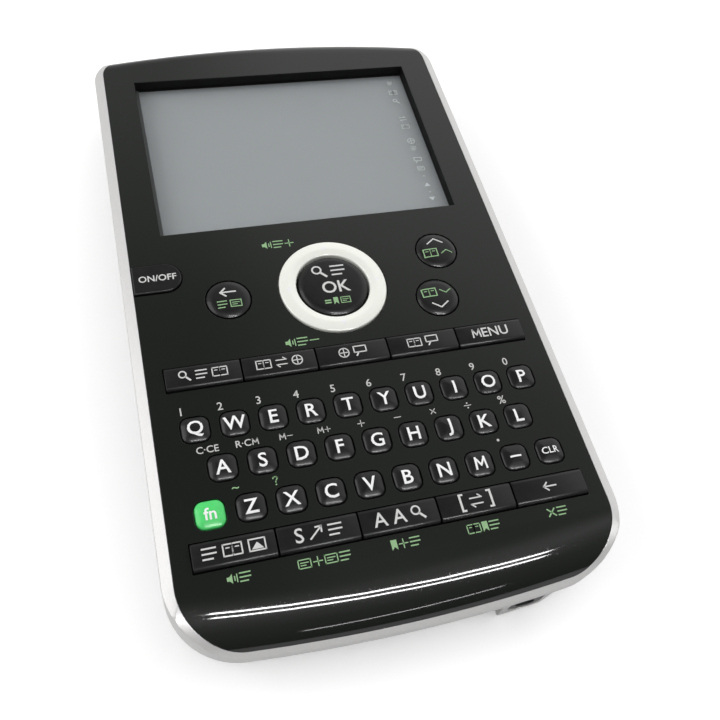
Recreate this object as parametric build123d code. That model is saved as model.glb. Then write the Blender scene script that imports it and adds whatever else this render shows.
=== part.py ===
"""Palm-size electronic dictionary: a keyboard slab with a recessed touch display.

Units are millimetres. +Z points up out of the key side, +Y towards the display end and +X to the
right of the keyboard. The origin is on the resting face, under the middle of the slab.
Each function makes one sub-part; the last section writes one STEP file per sub-part.
"""
import os
from math import acos, atan, ceil, cos, degrees, pi, radians, sin, sqrt, tan

from build123d import *

# ---- overall slab -------------------------------------------------------------------------------
overall_length = 137.6       # end to end over the silver frame
keyboard_margin = 6.15       # silver edge to the first key pitch, each side; sets the width
width_taper = 2.2            # the display end is this much narrower
key_proud = 0.7              # key tops above the black face
parting_z = 8.2              # where the frame sits on the back shell
low_edge_radius = 320.0      # the keyboard end's long curve, seen from above
high_edge_radius = 260.0     # the display end's long curve
low_corner_radius = 13.0
high_corner_radius = 7.0
least_corner_radius = 1.0    # of an outline drawn in from the display end's corners
low_roll_radius = 11.2       # the face rolls over the keyboard end at this radius
low_roll_run = 10.1          # length of that roll, measured in plan from the end
high_roll_radius = 4.0       # small roll at the display end
high_roll_run = 3.6
inner_roll_flats = 4         # flats that follow a roll on the inside of the case
round_flatness = 0.06        # small and hidden rounds have flats this close to the circle
corner_flats = 3             # flats in the rounded corner of a small key

# ---- silver frame and black front case ----------------------------------------------------------
frame_rim = 2.0              # visible silver beside the black face
frame_rim_low = 0.9          # silver beyond the black face at the keyboard end
frame_rim_high = 0.8         # silver beyond the black face at the display end
frame_slope_drop = 0.8       # how far the frame's top slopes down to its outer edge
frame_fit = 0.05             # front case to frame
case_wall = 1.6              # wall and face thickness of the front case

# ---- back shell ---------------------------------------------------------------------------------
shell_taper = 15.0           # degrees that the shell's sides lean in
shell_turn_z = 2.0           # below this the sides turn in to the resting face
shell_turn_taper = 50.0
shell_floor = 1.5
shell_wall = 4.9             # at the rim, where it carries the frame, the case and the tongue
tongue_wall = 1.0
tongue_height = 2.0
tongue_fit = 0.12

# ---- display ------------------------------------------------------------------------------------
window_width = 62.7
window_height = 43.4
window_centre_y = 36.3
window_depth = 2.5           # black face down to the touch panel
window_skirt = 1.2           # wall that runs down round the window
window_gasket = 0.1
touch_margin = 2.0           # touch panel beyond the window, each side
touch_thickness = 1.1
lcd_margin = 2.9
lcd_thickness = 3.0

# ---- keys ---------------------------------------------------------------------------------------
key_gap = 0.2                # a key to the edge of its hole
key_travel = 0.4
key_lip = 0.6                # lip under the face that keeps a key in
key_lip_thickness = 0.6
key_lip_gap = 0.1            # lip to the underside of the face
key_draft = 8.0              # degrees that a cap's sides lean in

letter_hole_width = 5.4
letter_hole_height = 5.3
letter_web = 1.53            # face left between two holes of a row
letter_row_web = 2.6         # and between two rows
letter_corner = 1.7
letter_edge_break = 0.45
bottom_row_y = -44.5

bar_key_split = 0.3          # gap between two bar keys in one slot
bar_edge_break = 0.35
category_pitch, category_height = 14.08, 5.07
lower_pitch, lower_height, lower_y = 14.2, 5.2, -51.4
bar_keys_per_row = 5
ring_category_web = 2.415    # face left between the ring's hole and the category keys

round_hole_diameter = 9.05
back_key_at = (-20.8, -2.5)
previous_key_at = (23.5, 3.1)
next_key_at = (20.3, -8.3)

power_hole_width = 6.9       # across the D-shaped tab
power_hole_inner_x = -28.6   # its round end
power_centre_y = 4.2
power_proud = 0.45
power_edge_break = 0.2

# ---- direction ring and enter key ---------------------------------------------------------------
ring_centre = (0.0, -2.4)
ring_hole_diameter = 21.9
ring_band = 3.4              # width of the ring's face
ring_tilt_room = 0.45        # free height above and below parts that tilt
ring_lip_thickness = 0.5
ring_pad_thickness = 0.4
ring_pad_gap = 0.6           # pad to the enter key's lip
ring_pad_bridge = 0.05       # gap left under the ridges that the ring rocks on
ring_ridge_width = 1.2
ring_crown = 0.35            # the ring's top falls this much at both edges
ring_crown_width = 0.9
enter_gap = 0.35

# ---- keypad rubber and boards -------------------------------------------------------------------
rubber_gap = 0.1             # left under a key lip when the key is fully down
rubber_nub_height = 0.4
rubber_nub_width = 3.0
rubber_sheet = 0.6
rubber_side_gap = 1.6        # rubber and key board to the front case's skirt
rubber_low_margin = 0.4      # rubber beyond the lowest key's lip
rubber_ring_gap = 0.5        # rubber to the ring's lip
board_thickness = 0.8
board_edge_gap = 0.6
keypad_display_gap = 0.8     # keypad to the display module
main_board_drop = 1.1        # display module down to the main board
main_board_thickness = 1.0
main_board_step = 1.0        # main board inside the display module's outline
chip_places = ((-18, 30), (4, 44), (18, 28))
chip_width, chip_height = 12.0, 0.9

# ---- batteries ----------------------------------------------------------------------------------
battery_diameter = 10.3
battery_length = 44.5
battery_button_diameter = 3.8
battery_button_length = 0.9
battery_gap = 0.4            # between the two cells, and to the bay walls
battery_floor_gap = 0.3      # cell to the battery cover
battery_board_gap = 0.4      # cell to the key board
bay_contact_room = 3.0       # for a contact at each end of the cells
bay_wall = 1.2
bay_board_gap = 0.8          # top of the bay's walls to the key board
bay_centre_y = -29.0
contact_strip = 0.4
contact_width = 7.0
contact_nose = 1.2           # flat that touches the cell
contact_slant = 1.2          # strip left straight at the foot of the tongue
contact_gap = 0.1            # contact to the end of the cell

# ---- battery cover ------------------------------------------------------------------------------
cover_thickness = 1.2
cover_gap = 0.25
cover_seat_gap = 0.1         # cover to the bay's wall above it
cover_margin = 1.4           # cover beyond the bay, each side
cover_corner = 1.0
cover_hook_length = 1.5
cover_hook_width = 6.0
cover_hook_thickness = 0.8
cover_hook_gap = 0.15
cover_hook_root = 2.5        # how far a hook's foot runs in over the cover
cover_hook_inset = 10.0      # middle of a hook from the cover's end
cover_hook_swing = 3.0       # height that a hook needs as it swings out
cover_grip_depth = 0.5       # grooves that a fingertip grips
cover_grip_grooves = 4
cover_grip_pitch = 1.8
cover_grip_length = 14.0
cover_grip_inset = 2.5

# ---- fasteners ----------------------------------------------------------------------------------
screw_x_low, screw_y_low = 30.0, -58.5
screw_x_high, screw_y_high = 14.5, 8.2
screw_diameter = 1.9
screw_hole_diameter = 2.0
screw_clearance = 0.2        # shank to its hole in the shell
screw_tip_room = 0.3
screw_head_diameter = 3.6
screw_head_height = 1.2
screw_head_gap = 0.2
screw_head_sink = 1.4        # head below the resting face
screw_length = 10.0
boss_diameter = 4.6
boss_gap = 0.2
boss_wall_bite = 0.1         # how far a boss runs into the face above it
post_diameter = 5.8

# ---- sound and pen ------------------------------------------------------------------------------
jack_x = 21.7
jack_z = 4.9
jack_bore_diameter = 3.6     # takes a 3.5 mm plug
jack_bore_length = 12.0
jack_barrel_diameter = 6.4
jack_barrel_length = 1.8
jack_block_width = 8.0
jack_block_height = 6.4
jack_block_length = 13.0
jack_fit = 0.1               # jack block to its pocket
jack_notch_width = 6.8
jack_setback = 1.0           # barrel's end inside the shell's outer line
jack_boss_wall = 1.7         # shell round the notch
jack_boss_back = 4.0         # boss beyond the jack
jack_boss_low_z = 0.8
jack_boss_taper = 5.0
jack_boss_corner = 1.5
jack_boss_inset = 0.15       # boss inside the frame's outer line
speaker_at = (-17.0, 34.0)
speaker_diameter = 20.0
speaker_height = 3.6
speaker_seat = 0.1           # speaker over the shell's floor
speaker_ring_wall = 1.2
speaker_ring_drop = 1.0      # ring's top below the speaker's
grille_slots, grille_pitch, grille_slot_width = 7, 2.2, 1.0
grille_edge = 1.5            # slots end this far inside the speaker's rim
pen_x, pen_z = 26.5, 4.5
pen_diameter = 4.0
pen_length = 80.0
pen_gap = 0.2
pen_tip_length = 5.0
pen_tip_radius = 0.5
pen_tip_gap = 0.5
pen_setback = 0.2            # pen's head inside the shell's end
pen_guide_wall = 1.0
pen_entry_length = 12.0
pen_saddle_length = 5.0
pen_notch_length = 6.0       # fingernail notch under the pen's head
pen_notch_width = 3.0

# ---- levels and sizes worked out from the values above ------------------------------------------
half_length = overall_length / 2
board_bottom_z = cover_thickness + battery_floor_gap + battery_diameter + battery_board_gap
board_top_z = board_bottom_z + board_thickness
rubber_top_z = board_top_z + rubber_sheet
nub_top_z = rubber_top_z + rubber_nub_height
lip_bottom_z = nub_top_z + rubber_gap + key_travel
lip_top_z = lip_bottom_z + key_lip_thickness
case_inside_z = lip_top_z + key_lip_gap
face_z = case_inside_z + case_wall
overall_height = face_z + key_proud
above_all = overall_height + 5.0
below_all = -1.0
bay_wall_top = board_bottom_z - bay_board_gap
ring_lip_top_z = case_inside_z - ring_tilt_room
ring_lip_bottom_z = ring_lip_top_z - ring_lip_thickness
pad_top_z = ring_lip_bottom_z - ring_tilt_room
pad_bottom_z = pad_top_z - ring_pad_thickness
touch_top_z = face_z - window_depth
lcd_top_z = touch_top_z - touch_thickness
lcd_bottom_z = lcd_top_z - lcd_thickness
main_board_top_z = lcd_bottom_z - main_board_drop
head_seat_z = screw_head_sink + screw_head_height
screw_tip_z = screw_head_sink + screw_length
tongue_top_z = parting_z + tongue_height

top_row = [f"key_{letter}" for letter in "qwertyuiop"]
middle_row = [f"key_{letter}" for letter in "asdfghjkl"]
bottom_row = ["function_key"] + [f"key_{letter}" for letter in "zxcvbnm"] + ["key_dash", "clear_key"]
letter_pitch = letter_hole_width + letter_web
letter_row_pitch = letter_hole_height + letter_row_web
width_low = len(top_row) * letter_pitch + 2 * keyboard_margin    # across the frame, keyboard end
width_high = width_low - width_taper
ring_outer_radius = ring_hole_diameter / 2 - key_gap
ring_inner_radius = ring_outer_radius - ring_band
enter_radius = ring_inner_radius - enter_gap
category_y = ring_centre[1] - ring_hole_diameter / 2 - ring_category_web - category_height / 2
bay_length = battery_length + 2 * bay_contact_room
bay_width = 2 * battery_diameter + 3 * battery_gap
cover_length = bay_length + 2 * cover_margin
cover_width = bay_width + 2 * cover_margin
cover_low_y = bay_centre_y - cover_width / 2
keypad_half_x = width_low / 2 - frame_rim - case_wall - rubber_side_gap
keypad_high_y = window_centre_y - window_height / 2 - lcd_margin - keypad_display_gap
high_sag_at_pen = pen_x ** 2 / (2 * high_edge_radius)    # how far the end's curve has drawn in
pen_head_y = half_length - high_sag_at_pen - (parting_z - pen_z) * tan(radians(shell_taper)) - pen_setback
pen_tip_y = pen_head_y - pen_length
jack_end_y = -half_length + jack_setback
jack_block_y = jack_end_y + jack_barrel_length


# ---- outlines and envelopes ---------------------------------------------------------------------
def slab_outline(side_inset, low_inset, high_inset):
    """Plan outline of the slab, drawn in from the outermost line by three insets."""
    low_y = -half_length + low_inset
    high_y = half_length - high_inset
    slope = width_taper / 2 / overall_length
    low_x = width_low / 2 - side_inset - slope * low_inset
    high_x = width_high / 2 - side_inset + slope * high_inset
    low_sag = low_x ** 2 / (2 * low_edge_radius)
    high_sag = high_x ** 2 / (2 * high_edge_radius)
    low_right = (low_x, low_y + low_sag)
    low_left = (-low_x, low_y + low_sag)
    high_right = (high_x, high_y - high_sag)
    high_left = (-high_x, high_y - high_sag)
    edges = ThreePointArc(low_left, (0, low_y), low_right)
    edges += Line(low_right, high_right)
    edges += ThreePointArc(high_right, (0, high_y), high_left)
    edges += Line(high_left, low_left)
    outline = make_face(edges)
    low_corners = outline.vertices().sort_by(Axis.Y)[0:2]
    outline = fillet(low_corners, low_corner_radius - side_inset)
    high_corners = outline.vertices().sort_by(Axis.Y)[-2:]
    return fillet(high_corners, max(high_corner_radius - side_inset, least_corner_radius))


def roll_line(start, top, radius, run, flats):
    """Line down a roll from its top; flats of 0 draws it as a true arc."""
    reach = min(run, radius)
    sweep = degrees(acos(sqrt(max(radius ** 2 - reach ** 2, 0)) / radius))
    centre_z = top - radius
    steps = flats or 2
    points = []
    for step in range(steps + 1):
        angle = radians(sweep * step / steps)
        points.append((start + radius * sin(angle), centre_z + radius * cos(angle)))
    line = Polyline(*points) if flats else ThreePointArc(*points)
    return line, points[-1]


def rolled_disc(edge_radius, roll_radius, roll_run, wall):
    """Disc whose rim rolls down; wall moves the surface inwards, and is drawn with flats."""
    start = edge_radius - roll_run
    top = face_z - wall
    flats = inner_roll_flats if wall else 0
    roll, (end_x, end_z) = roll_line(start, top, roll_radius - wall, roll_run, flats)
    section = roll + Line((0, top), (start, top)) + Line((0, 0), (0, top))
    section += Line((0, 0), (end_x, 0)) + Line((end_x, 0), (end_x, end_z))
    return revolve(Plane.XZ * make_face(section), Axis.Z)


def under_rolls(block, wall):
    """The part of a block under the rolled face, cut by the two discs that share its end curves."""
    low_disc = rolled_disc(low_edge_radius, low_roll_radius, low_roll_run, wall)
    high_disc = rolled_disc(high_edge_radius, high_roll_radius, high_roll_run, wall)
    block = block & Pos(0, low_edge_radius - half_length, 0) * low_disc
    return block & Pos(0, half_length - high_edge_radius, 0) * high_disc


def slab_block(side_inset, low_inset, high_inset, bottom_z, top_z):
    """Upright block on the slab's plan outline."""
    outline = slab_outline(side_inset, low_inset, high_inset)
    return extrude(Pos(0, 0, bottom_z) * outline, top_z - bottom_z)


def rounded_outline(width, height, corner):
    """Rectangle whose rounded corners are drawn with a few flats."""
    points = []
    for quarter, (side_x, side_y) in enumerate([(1, 1), (-1, 1), (-1, -1), (1, -1)]):
        centre_x = side_x * (width / 2 - corner)
        centre_y = side_y * (height / 2 - corner)
        for step in range(corner_flats + 1):
            angle = (quarter + step / corner_flats) * pi / 2
            points.append((centre_x + corner * cos(angle), centre_y + corner * sin(angle)))
    return make_face(Polyline(*points, close=True))


def rounded_bar(width, height, corner, bottom_z, top_z):
    """Upright block on a rounded rectangle centred on the origin."""
    return extrude(Pos(0, 0, bottom_z) * rounded_outline(width, height, corner), top_z - bottom_z)


def disc(diameter, bottom_z, top_z):
    """Upright cylinder on the origin."""
    return extrude(Pos(0, 0, bottom_z) * Circle(diameter / 2), top_z - bottom_z)


def flatted_disc(diameter, bottom_z, top_z, draft=0.0):
    """Upright prism that stands for a cylinder or a drafted cap, centred on the origin."""
    quarter = ceil(pi / acos(1 - round_flatness / (diameter / 2)) / 4)
    outline = Pos(0, 0, bottom_z) * RegularPolygon(diameter / 2, 4 * quarter)
    return extrude(outline, top_z - bottom_z, taper=draft)


def box_between(low, high):
    """Box from its lowest to its highest corner."""
    size = [b - a for a, b in zip(low, high)]
    middle = [(a + b) / 2 for a, b in zip(low, high)]
    return Pos(*middle) * Box(*size)


# ---- keys ---------------------------------------------------------------------------------------
def letter_key():
    """Square key with a broken top edge and a lip under the face, on the origin."""
    width = letter_hole_width - 2 * key_gap
    height = letter_hole_height - 2 * key_gap
    cap = rounded_bar(width, height, letter_corner - key_gap, lip_top_z, overall_height)
    cap = chamfer(cap.faces().sort_by(Axis.Z)[-1].edges(), letter_edge_break)
    half_x, half_y = width / 2 + key_lip, height / 2 + key_lip
    return cap + box_between((-half_x, -half_y, lip_bottom_z), (half_x, half_y, lip_top_z))


def bar_key(pitch, height, first, last):
    """Long key that shares a slot with its neighbours; its upper edges are broken."""
    left_x = -pitch / 2 + (key_gap if first else bar_key_split / 2)
    right_x = pitch / 2 - (key_gap if last else bar_key_split / 2)
    half_y = height / 2 - key_gap
    cap = box_between((left_x, -half_y, lip_top_z), (right_x, half_y, overall_height))
    cap = chamfer(cap.faces().sort_by(Axis.Z)[-1].edges(), bar_edge_break)
    half_y += key_lip
    return cap + box_between((left_x, -half_y, lip_bottom_z), (right_x, half_y, lip_top_z))


def round_key():
    """Round key with drafted sides and a lip, on the origin."""
    diameter = round_hole_diameter - 2 * key_gap
    cap = flatted_disc(diameter, lip_top_z, overall_height, key_draft)
    return cap + flatted_disc(diameter + 2 * key_lip, lip_bottom_z, lip_top_z)


def tab_outline(grow):
    """D-shaped tab of the power key, open towards the frame; grow widens it all round."""
    radius = power_hole_width / 2 + grow
    end_x = power_hole_inner_x - power_hole_width / 2
    start_x = -width_low / 2
    straight = Pos((start_x + end_x) / 2, power_centre_y) * Rectangle(end_x - start_x, 2 * radius)
    return straight + Pos(end_x, power_centre_y) * Circle(radius)


def power_key():
    """Tab key at the edge of the face, beside the frame."""
    inside = slab_block(frame_rim + key_gap, frame_rim_low, frame_rim_high, 0, above_all)
    cap = extrude(Pos(0, 0, lip_top_z) * tab_outline(-key_gap), face_z + power_proud - lip_top_z)
    cap &= inside
    cap = chamfer(cap.faces().sort_by(Axis.Z)[-1].edges(), power_edge_break)
    case_inner = slab_block(frame_rim + case_wall + key_gap, frame_rim_low, frame_rim_high, 0, above_all)
    lip = extrude(Pos(0, 0, lip_bottom_z) * tab_outline(key_lip - key_gap), key_lip_thickness)
    return cap + (lip & case_inner)


# ---- direction ring -----------------------------------------------------------------------------
def direction_ring():
    """Silver ring that tilts four ways round the enter key."""
    lip_radius = ring_outer_radius + key_lip
    edge_z = overall_height - ring_crown
    corners = [(ring_inner_radius, ring_lip_bottom_z), (lip_radius, ring_lip_bottom_z),
               (lip_radius, ring_lip_top_z), (ring_outer_radius, ring_lip_top_z),
               (ring_outer_radius, edge_z), (ring_outer_radius - ring_crown_width, overall_height),
               (ring_inner_radius + ring_crown_width, overall_height), (ring_inner_radius, edge_z)]
    ring = revolve(Plane.XZ * make_face(Polyline(*corners, close=True)), Axis.Z)
    ridge_height = ring_tilt_room - ring_pad_bridge
    ridge_x = (ring_inner_radius + lip_radius + key_lip) / 2
    for side in (-1, 1):
        ridge = Box(ring_band, ring_ridge_width, ridge_height)
        ring += Pos(side * ridge_x, 0, ring_lip_bottom_z - ridge_height / 2) * ridge
    return Pos(*ring_centre, 0) * ring


def ring_pad():
    """Rubber pad that rocks left and right under the ring and carries the ring's own ridges."""
    outer = ring_hole_diameter / 2 + key_lip
    inner = ring_inner_radius + key_lip + ring_pad_gap
    pad = flatted_disc(2 * outer, pad_bottom_z, pad_top_z)
    pad -= flatted_disc(2 * inner, pad_bottom_z, pad_top_z)
    ridge_height = pad_bottom_z - board_top_z - ring_pad_bridge
    for side in (-1, 1):
        ridge = Box(ring_ridge_width, outer - inner - ring_pad_gap, ridge_height)
        ridge_y = side * (outer + inner) / 2
        pad += Pos(0, ridge_y, pad_bottom_z - ridge_height / 2) * ridge
    return Pos(*ring_centre, 0) * pad


def enter_key():
    """Round key in the middle of the direction ring."""
    cap = flatted_disc(2 * enter_radius, pad_top_z, overall_height, key_draft)
    lip = flatted_disc(2 * (enter_radius + key_lip), pad_bottom_z, pad_top_z)
    return Pos(*ring_centre, 0) * (cap + lip)


# ---- front case ---------------------------------------------------------------------------------
def key_openings():
    """Cutters for every hole in the black face."""
    low, high = lip_top_z, above_all
    cutters = []
    for x, y in letter_places().values():
        hole = rounded_bar(letter_hole_width, letter_hole_height, letter_corner, low, high)
        cutters.append(Pos(x, y, 0) * hole)
    for x, y in (back_key_at, previous_key_at, next_key_at):
        cutters.append(Pos(x, y, 0) * flatted_disc(round_hole_diameter, low, high))
    cutters.append(Pos(*ring_centre, 0) * disc(ring_hole_diameter, low, high))
    for pitch, height, y in bar_rows():
        half = bar_keys_per_row * pitch / 2
        cutters.append(box_between((-half, y - height / 2, low), (half, y + height / 2, high)))
    tab_low = lip_bottom_z - key_travel - rubber_gap
    cutters.append(extrude(Pos(0, 0, tab_low) * tab_outline(0), above_all - tab_low))
    return cutters


def window_block(grow, bottom_z, top_z):
    """Block on the display window, grown all round."""
    half_x = window_width / 2 + grow
    half_y = window_height / 2 + grow
    return box_between((-half_x, window_centre_y - half_y, bottom_z),
                       (half_x, window_centre_y + half_y, top_z))


def screw_places():
    """Centres of the four case screws."""
    low = [(side * screw_x_low, screw_y_low) for side in (-1, 1)]
    high = [(side * screw_x_high, screw_y_high) for side in (-1, 1)]
    return low + high


def front_case():
    """Black moulding: rolled face, skirt, window walls and screw bosses."""
    inset = frame_rim + frame_fit
    low_inset = frame_rim_low + frame_fit
    high_inset = frame_rim_high + frame_fit
    wall = case_wall
    case = under_rolls(slab_block(inset, low_inset, high_inset, parting_z + frame_fit, above_all), 0)
    inside = slab_block(inset + wall, low_inset + wall, high_inset + wall, 0, above_all)
    case -= under_rolls(inside, wall)
    case += window_block(window_skirt, touch_top_z + window_gasket, case_inside_z)
    for x, y in screw_places():
        case += Pos(x, y, 0) * flatted_disc(boss_diameter, tongue_top_z, case_inside_z + boss_wall_bite)
        case -= Pos(x, y, 0) * flatted_disc(screw_hole_diameter, 0, screw_tip_z + screw_tip_room)
    case -= window_block(0, 0, above_all)
    return case - key_openings()


def side_frame():
    """Silver ring round the front case; its top slopes outwards and follows the rolled end."""
    slope_z = face_z - frame_slope_drop
    lean = degrees(atan((frame_rim - frame_fit) / frame_slope_drop))
    wall = slab_block(0, 0, 0, parting_z, slope_z)
    rim = extrude(Pos(0, 0, slope_z) * slab_outline(0, 0, 0), frame_slope_drop, taper=lean)
    hole = slab_block(frame_rim, frame_rim_low, frame_rim_high, 0, above_all)
    return under_rolls(wall + rim, 0) - hole


# ---- back shell ---------------------------------------------------------------------------------
def bay_block(grow, bottom_z, top_z):
    """Block on the battery bay, grown all round."""
    half_x, half_y = bay_length / 2 + grow, bay_width / 2 + grow
    return box_between((-half_x, bay_centre_y - half_y, bottom_z),
                       (half_x, bay_centre_y + half_y, top_z))


def jack_boss():
    """Boss of the shell round the jack's notch; it leans in less than the shell's side does."""
    reach = jack_block_length + jack_boss_wall + jack_boss_back
    width = jack_notch_width + 2 * jack_boss_wall
    plan = Pos(jack_x, jack_end_y + reach / 2 - 2 * jack_setback, parting_z) * RectangleRounded(
        width, reach, jack_boss_corner)
    boss = extrude(plan, jack_boss_low_z - parting_z, taper=jack_boss_taper)
    return boss & slab_block(jack_boss_inset, jack_boss_inset, 0, 0, parting_z)


def jack_cavity():
    """Room for the jack and the plug in front of it, with a round lower end at the notch."""
    half = jack_notch_width / 2
    outside_y = -half_length - 1
    notch = box_between((jack_x - half, outside_y, jack_z), (jack_x + half, jack_block_y, above_all))
    notch_length = jack_block_y - outside_y
    notch += Pos(jack_x, outside_y + notch_length / 2, jack_z) * Rot(90, 0, 0) * Cylinder(
        half, notch_length)
    half_x = jack_block_width / 2 + jack_fit
    low_z = jack_z - jack_barrel_diameter / 2 - 2 * jack_fit
    pocket = box_between((jack_x - half_x, jack_block_y, low_z),
                         (jack_x + half_x, jack_block_y + jack_block_length, above_all))
    return notch + pocket


def pen_channel_block(start_y, end_y):
    """Solid stretch of the pen's channel between two places along it."""
    half = pen_diameter / 2 + pen_gap + pen_guide_wall
    return box_between((pen_x - half, start_y, 0), (pen_x + half, end_y, pen_z + half))


def standing_posts():
    """What stands up inside the shell: screw posts, pen guides, the speaker's ring, the jack's boss."""
    posts = []
    for x, y in screw_places():
        posts.append(Pos(x, y, 0) * flatted_disc(post_diameter, 0, tongue_top_z - boss_gap))
    entry_y = half_length - shell_wall - pen_entry_length
    saddle_y = pen_tip_y + pen_tip_length
    posts.append(pen_channel_block(entry_y, half_length))
    posts.append(pen_channel_block(saddle_y, saddle_y + pen_saddle_length))
    inner = speaker_diameter + 2 * key_gap
    ring_top = shell_floor + speaker_height - speaker_ring_drop
    ring = flatted_disc(inner + 2 * speaker_ring_wall, 0, ring_top)
    ring -= flatted_disc(inner, shell_floor, above_all)
    posts.append(Pos(*speaker_at, 0) * ring)
    posts.append(jack_boss())
    return posts


def grille_slot(index):
    """One of the speaker's sound slots, shorter towards the edge of the speaker."""
    offset = (index - (grille_slots - 1) / 2) * grille_pitch
    half = sqrt((speaker_diameter / 2 - grille_edge) ** 2 - offset ** 2)
    x, y = speaker_at
    slot_y = y + offset
    return box_between((x - half, slot_y - grille_slot_width / 2, below_all),
                       (x + half, slot_y + grille_slot_width / 2, shell_floor))


def pen_channel():
    """Bore for the pen, open at the display end, with a fingernail notch under the pen's head."""
    start_y = pen_tip_y - pen_tip_gap
    length = half_length - start_y
    bore = Pos(pen_x, start_y + length / 2, pen_z) * Rot(90, 0, 0) * Cylinder(
        pen_diameter / 2 + pen_gap, length)
    notch = box_between((pen_x - pen_notch_width / 2, pen_head_y - pen_notch_length, below_all),
                        (pen_x + pen_notch_width / 2, half_length, pen_z))
    return bore + notch


def screw_room():
    """Stepped hole in the shell for one case screw, on the origin."""
    shank = flatted_disc(screw_hole_diameter + 2 * screw_clearance, below_all, above_all)
    return shank + flatted_disc(screw_head_diameter + 2 * screw_head_gap, below_all, head_seat_z)


def shell_body():
    """Outside of the back shell, hollowed, with what stands up in it."""
    shell = extrude(Pos(0, 0, parting_z) * slab_outline(0, 0, 0), shell_turn_z - parting_z,
                    taper=shell_taper)
    turn = shell.faces().sort_by(Axis.Z)[0]
    shell += extrude(turn, shell_turn_z, taper=shell_turn_taper)
    shell += jack_boss()
    cavity = slab_block(shell_wall, shell_wall, shell_wall, shell_floor, above_all)
    return shell - (cavity - standing_posts())


def tongue():
    """Rim that stands up inside the front case's skirt."""
    room = case_wall + tongue_fit + frame_fit
    insets = [rim + room for rim in (frame_rim, frame_rim_low, frame_rim_high)]
    inner = [inset + tongue_wall for inset in insets]
    return slab_block(*insets, parting_z, tongue_top_z) - slab_block(*inner, 0, above_all)


def back_shell():
    """Lower moulding with battery bay, screw posts, pen channel, speaker seat and jack notch."""
    shell = shell_body() + tongue()
    shell += bay_block(bay_wall, shell_floor, bay_wall_top)
    shell -= bay_block(0, below_all, above_all)
    shell -= cover_opening()
    for slot in hook_slots():
        shell -= slot
    shell -= jack_cavity()
    for x, y in screw_places():
        shell -= Pos(x, y, 0) * screw_room()
    shell -= pen_channel()
    for index in range(grille_slots):
        shell -= grille_slot(index)
    return shell


# ---- battery cover ------------------------------------------------------------------------------
def cover_opening():
    """Opening in the shell's floor that the cover fills."""
    half_x, half_y = cover_length / 2 + cover_gap, cover_width / 2 + cover_gap
    return box_between((-half_x, bay_centre_y - half_y, below_all),
                       (half_x, bay_centre_y + half_y, cover_thickness + cover_seat_gap))


def hook_places():
    """Middle of each cover hook along the cover's edge."""
    return [side * (cover_length / 2 - cover_hook_inset) for side in (-1, 1)]


def hook_slots():
    """Room in the bay's wall for the cover's hooks as they swing out."""
    inner_y = bay_centre_y - bay_width / 2
    slots = []
    for x in hook_places():
        half = cover_hook_width / 2 + cover_gap
        slots.append(box_between((x - half, cover_low_y, cover_thickness), (x + half, inner_y, shell_floor)))
        slots.append(box_between((x - half, cover_low_y - 2 * cover_gap, shell_floor),
                                 (x + half, inner_y, shell_floor + cover_hook_swing)))
    return slots


def battery_cover():
    """Flush cover that tips out about the two hooks on its keyboard-end edge."""
    cover = Pos(0, bay_centre_y, 0) * rounded_bar(cover_length, cover_width, cover_corner, 0,
                                                  cover_thickness)
    hook_low_z = shell_floor + cover_hook_gap
    hook_top_z = hook_low_z + cover_hook_thickness
    root_y = cover_low_y + cover_hook_root
    for x in hook_places():
        half = cover_hook_width / 2
        cover += box_between((x - half, cover_low_y + cover_seat_gap, cover_thickness),
                             (x + half, root_y, hook_top_z))
        cover += box_between((x - half, cover_low_y - cover_hook_length, hook_low_z),
                             (x + half, root_y, hook_top_z))
    groove = Rot(45, 0, 0) * Box(cover_grip_length, cover_grip_depth * sqrt(2), cover_grip_depth * sqrt(2))
    grip_y = cover_low_y + cover_width - cover_grip_inset
    for index in range(cover_grip_grooves):
        cover -= Pos(0, grip_y - index * cover_grip_pitch, 0) * groove
    return cover


# ---- inside pieces ------------------------------------------------------------------------------
def rubber_keypad():
    """Rubber sheet with a nub under each key."""
    low_y = lower_y - lower_height / 2 - key_lip - rubber_low_margin
    sheet = box_between((-keypad_half_x, low_y, board_top_z), (keypad_half_x, keypad_high_y, rubber_top_z))
    half = rubber_nub_width / 2
    for x, y in nub_places():
        sheet += box_between((x - half, y - half, rubber_top_z), (x + half, y + half, nub_top_z))
    clear = ring_hole_diameter + 2 * (key_lip + rubber_ring_gap)
    sheet -= Pos(*ring_centre, 0) * flatted_disc(clear, 0, above_all)
    return sheet - boss_rooms()


def nub_places():
    """Centres of the rubber nubs: one under every key but the ring's."""
    places = list(letter_places().values())
    for pitch, _, y in bar_rows():
        places += [(bar_key_x(pitch, index), y) for index in range(bar_keys_per_row)]
    places += [back_key_at, previous_key_at, next_key_at]
    places.append((power_hole_inner_x - power_hole_width / 2, power_centre_y))
    return places


def boss_rooms():
    """Clearance holes round the front case's screw bosses."""
    hole = flatted_disc(boss_diameter + 2 * board_edge_gap, 0, above_all)
    return [Pos(x, y, 0) * hole for x, y in screw_places()]


def low_roll_room(z):
    """How far the inside of the rolled end has drawn in from the skirt at height z."""
    inner_radius = low_roll_radius - case_wall
    drop = case_inside_z - z
    reach = sqrt(inner_radius ** 2 - (inner_radius - drop) ** 2)
    return max(low_roll_run - frame_rim_low - case_wall - reach, 0)


def key_board():
    """Circuit board under the keypad, with room round the screw bosses."""
    board = box_between((-keypad_half_x, -half_length, board_bottom_z),
                        (keypad_half_x, keypad_high_y, board_top_z))
    side = frame_rim + case_wall + board_edge_gap
    low_side = frame_rim_low + case_wall + board_edge_gap + low_roll_room(board_top_z)
    board &= slab_block(side, low_side, side, 0, above_all)
    return board - boss_rooms()


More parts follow.
